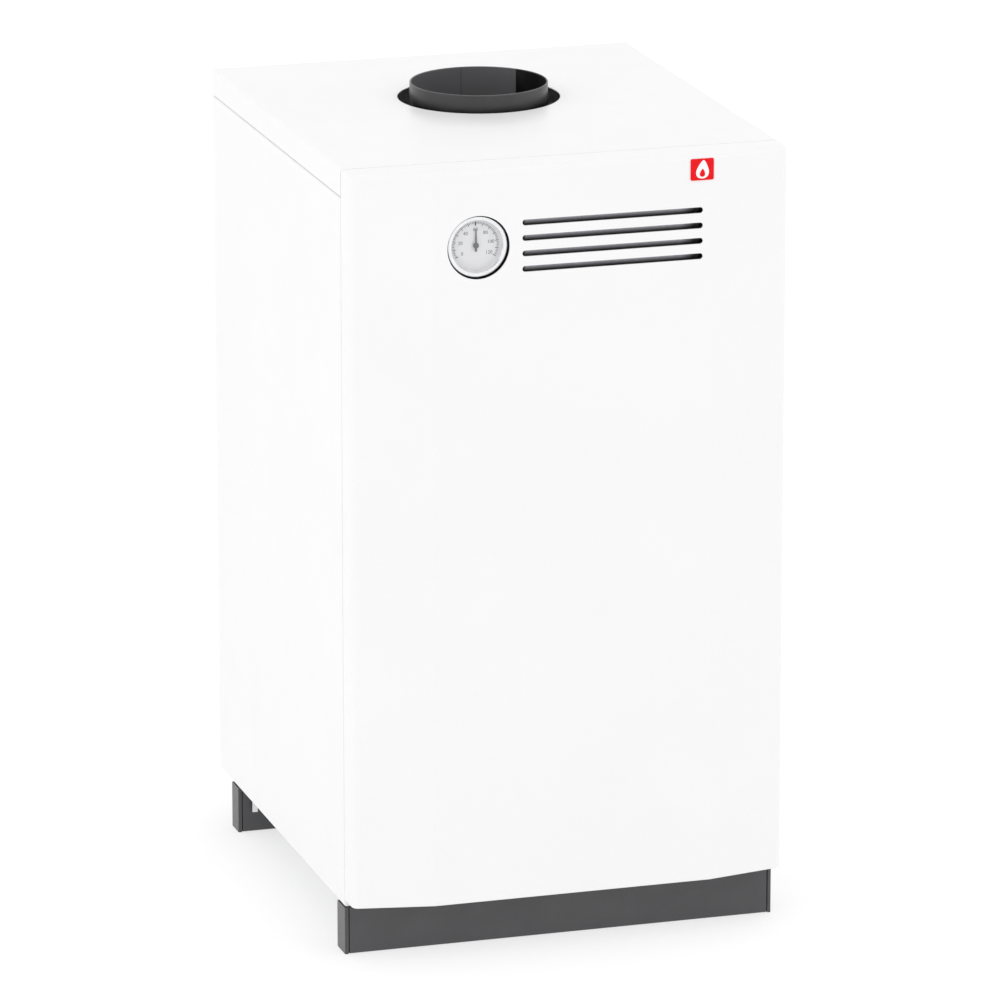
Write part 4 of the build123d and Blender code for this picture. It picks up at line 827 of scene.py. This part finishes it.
def gas_pipe():
    """The painted gas pipe: straight from the union, one bend, straight back to its G1/2 thread."""
    low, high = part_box("gas_inlet_pipe")
    dims = mount("gas_thread")["dims"]
    crest, length = dims["r_mm"] * MM, dims["length_mm"] * MM
    runout = 0.4 * MM
    plain = steady(GAS_PIPE_RADIUS)
    z = (low.z + high.z) / 2
    front = low.y + GAS_PIPE_RADIUS
    side = high.x - GAS_PIPE_RADIUS
    hub = Vector((side - GAS_BEND, front + GAS_BEND, z))
    spine = [(Vector((low.x, front, z)), Vector((0, -1, 0)), UP, plain)]
    for i in range(BEND_STEPS + 1):
        a = math.pi / 2 * i / BEND_STEPS
        out = Vector((math.sin(a), -math.cos(a), 0))
        spine.append((hub + out * GAS_BEND, out, UP, plain))
    thread_start = Vector((side, high.y - length, z))
    spine.append((thread_start - Vector((0, runout, 0)), RIGHT, UP, plain))
    bore_rows = list(reversed(spine))
    spine += threaded_run(thread_start, length, crest, GAS_PITCH, GAS_THREAD_DEPTH)
    bore_rows.insert(0, spine[-1])
    name = "gas_pipe_threaded"
    pipe_piece("gas_inlet_pipe", name, tube_mesh(name, spine, bore_rows, GAS_BORE, 56), "gas_pipe_paint")


water_pipe("supply_pipe", "supply_thread")
water_pipe("return_pipe", "return_thread")
gas_pipe()

# ---------------------------------------------------------------- insulation

BAND_LEVELS = (0.235, 0.345, 0.455, 0.548)
BAND_HALF = 6.0 * MM
BAND_THICK = 0.6 * MM
BAND_INSET = 2.2 * MM
BAND_CORNER = 12.0 * MM
CORNER_STEPS = 8
QUILT_SKIN = 8.0 * MM
QUILT_VOXEL = 5.0 * MM
PINCH_REACH = 14 * MM


def side_of(value, low, high):
    """-1 or 1 within the quilt's skin at the low or high side, and 0 between them."""
    if value > high - QUILT_SKIN:
        return 1
    return -1 if value < low + QUILT_SKIN else 0


def insulation_quilt():
    """Foil-faced wool: the CAD ring remeshed, creased on its outside, and pinched under its bands."""
    low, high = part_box("insulation_blanket")
    inset, pinch_depth = 0.9, 1.9
    holder = bpy.data.objects.new("quilt_source", NODES["insulation_blanket"].data.copy())
    SCENE.collection.objects.link(holder)
    remesh = holder.modifiers.new("remesh", "REMESH")
    remesh.mode = "VOXEL"
    remesh.voxel_size = QUILT_VOXEL
    mesh = evaluated_mesh(holder)
    bpy.data.objects.remove(holder)
    for vertex in mesh.vertices:
        p = vertex.co
        outward = Vector((side_of(p.x, low.x, high.x), side_of(p.y, low.y, high.y), 0))
        if outward.length == 0:
            continue
        folds = noise.noise(p * 22) * 1.3 + noise.noise(p * 55) * 0.9
        pinch = max(math.exp(-((p.z - level) / PINCH_REACH) ** 2) for level in BAND_LEVELS)
        vertex.co = p + outward.normalized() * (-inset + folds * (1 - pinch) - pinch_depth * pinch) * MM
    piece = new_piece("insulation_quilt", mesh, "casing", "mineral_wool")
    smooth = piece.modifiers.new("smooth", "SMOOTH")
    smooth.factor = 0.5
    smooth.iterations = 1
    finished = evaluated_mesh(piece)
    piece.modifiers.clear()
    piece.data = finished
    finished.polygons.foreach_set("use_smooth", [True] * len(finished.polygons))
    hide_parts("insulation_blanket")


def insulation_bands():
    """Flat steel bands strapped round the wool."""
    low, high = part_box("insulation_blanket")
    to_hub = BAND_INSET + BAND_CORNER
    left, right, front, back = low.x + to_hub, high.x - to_hub, low.y + to_hub, high.y - to_hub
    hubs = ((right, back, 0), (left, back, 90), (left, front, 180), (right, front, 270))
    half = Vector((0, 0, BAND_HALF))
    for index, level in enumerate(BAND_LEVELS):
        loops = []
        for x, y, first_degree in hubs:
            for step in range(CORNER_STEPS + 1):
                a = math.radians(first_degree + 90 * step / CORNER_STEPS)
                out = Vector((math.cos(a), math.sin(a), 0))
                inner = Vector((x, y, level)) + out * BAND_CORNER
                outer = inner + out * BAND_THICK
                loops.append([inner - half, outer - half, outer + half, inner + half])
        name = f"insulation_band_{index + 1}"
        shade_by_angle(new_piece(name, mesh_from(rings(loops), name), "casing", "zinc_sheet"))


insulation_quilt()
insulation_bands()

# ---------------------------------------------------------------- controls and fixings

KNOB_FIGURE_RADIUS = 12.6 * MM
KNOB_FIGURE_SIZE = 4.2 * MM
KNOB_FACE_DEPTH = 0.8 * MM
ARM_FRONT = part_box("magnetic_catches")[1].y - 2 * MM
PANEL_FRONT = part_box("left_side_panel")[0].y
RAIL_SCREW_X = 199.5
RAIL_SCREW_LEVELS = (645, 675)
HINGE_SCREW_PLACES = (-186.5, -167.5)
HINGE_LEVELS = (75, 700)
RAIL_HEAD = 3.2
HINGE_HEAD = 2.9


def knob_figures():
    """Figures 1 to 7 printed round the face of the gas knob."""
    centre = middle("valve_knob")
    face = front_plane(Vector((centre.x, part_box("valve_knob")[0].y + KNOB_FACE_DEPTH, centre.z)))
    for figure in range(1, 8):
        spot = face @ on_circle(KNOB_FIGURE_RADIUS, math.radians(45 * figure))
        name = f"knob_figure_{figure}"
        digits(name, str(figure), KNOB_FIGURE_SIZE, spot, "knob", "black_plastic", EMBLEM_WHITE)


def screw_head(name, spot, radius):
    """A pan-head screw with a cross recess, facing the front; its underside sits on the sheet."""
    place = front_plane(spot)
    wall, dome, recess, floor, pin = 0.3, 1.7, 1.5, 1.1, 0.05
    slot_half, slot_narrow, slot_thick = 1.3, 0.28, 0.25
    quarter = [math.pi / 2 * i / 5 for i in range(5)]
    domed = [(radius * math.cos(a), dome * math.sin(a) + wall) for a in quarter]
    profile = [(pin, 0.0), (radius, 0.0)] + domed + [(recess, 1.75), (recess, floor), (pin, floor)]
    bm = lathe([(r * MM, h * MM) for r, h in profile], place, 28)
    on_floor = place @ Matrix.Translation((0, 0, (floor + 0.05) * MM))
    for x, y in ((slot_half, slot_narrow), (slot_narrow, slot_half)):
        corners = [(-x * MM, -y * MM), (x * MM, -y * MM), (x * MM, y * MM), (-x * MM, y * MM)]
        plate(bm, corners, slot_thick * MM, on_floor)
    shade_by_angle(new_piece(name, mesh_from(bm, name), "casing", "zinc_fixings"))


def front_screws():
    """Screws of the cross rail's ends and of the hinge arms."""
    for level in RAIL_SCREW_LEVELS:
        for side, word in ((-1, "left"), (1, "right")):
            spot = Vector((side * RAIL_SCREW_X * MM, PANEL_FRONT, level * MM))
            screw_head(f"rail_screw_{word}_{level}", spot, RAIL_HEAD)
    for level in HINGE_LEVELS:
        for x in HINGE_SCREW_PLACES:
            spot = Vector((x * MM, ARM_FRONT, level * MM))
            screw_head(f"hinge_screw_{level}_{round(-x)}", spot, HINGE_HEAD)


knob_figures()
front_screws()
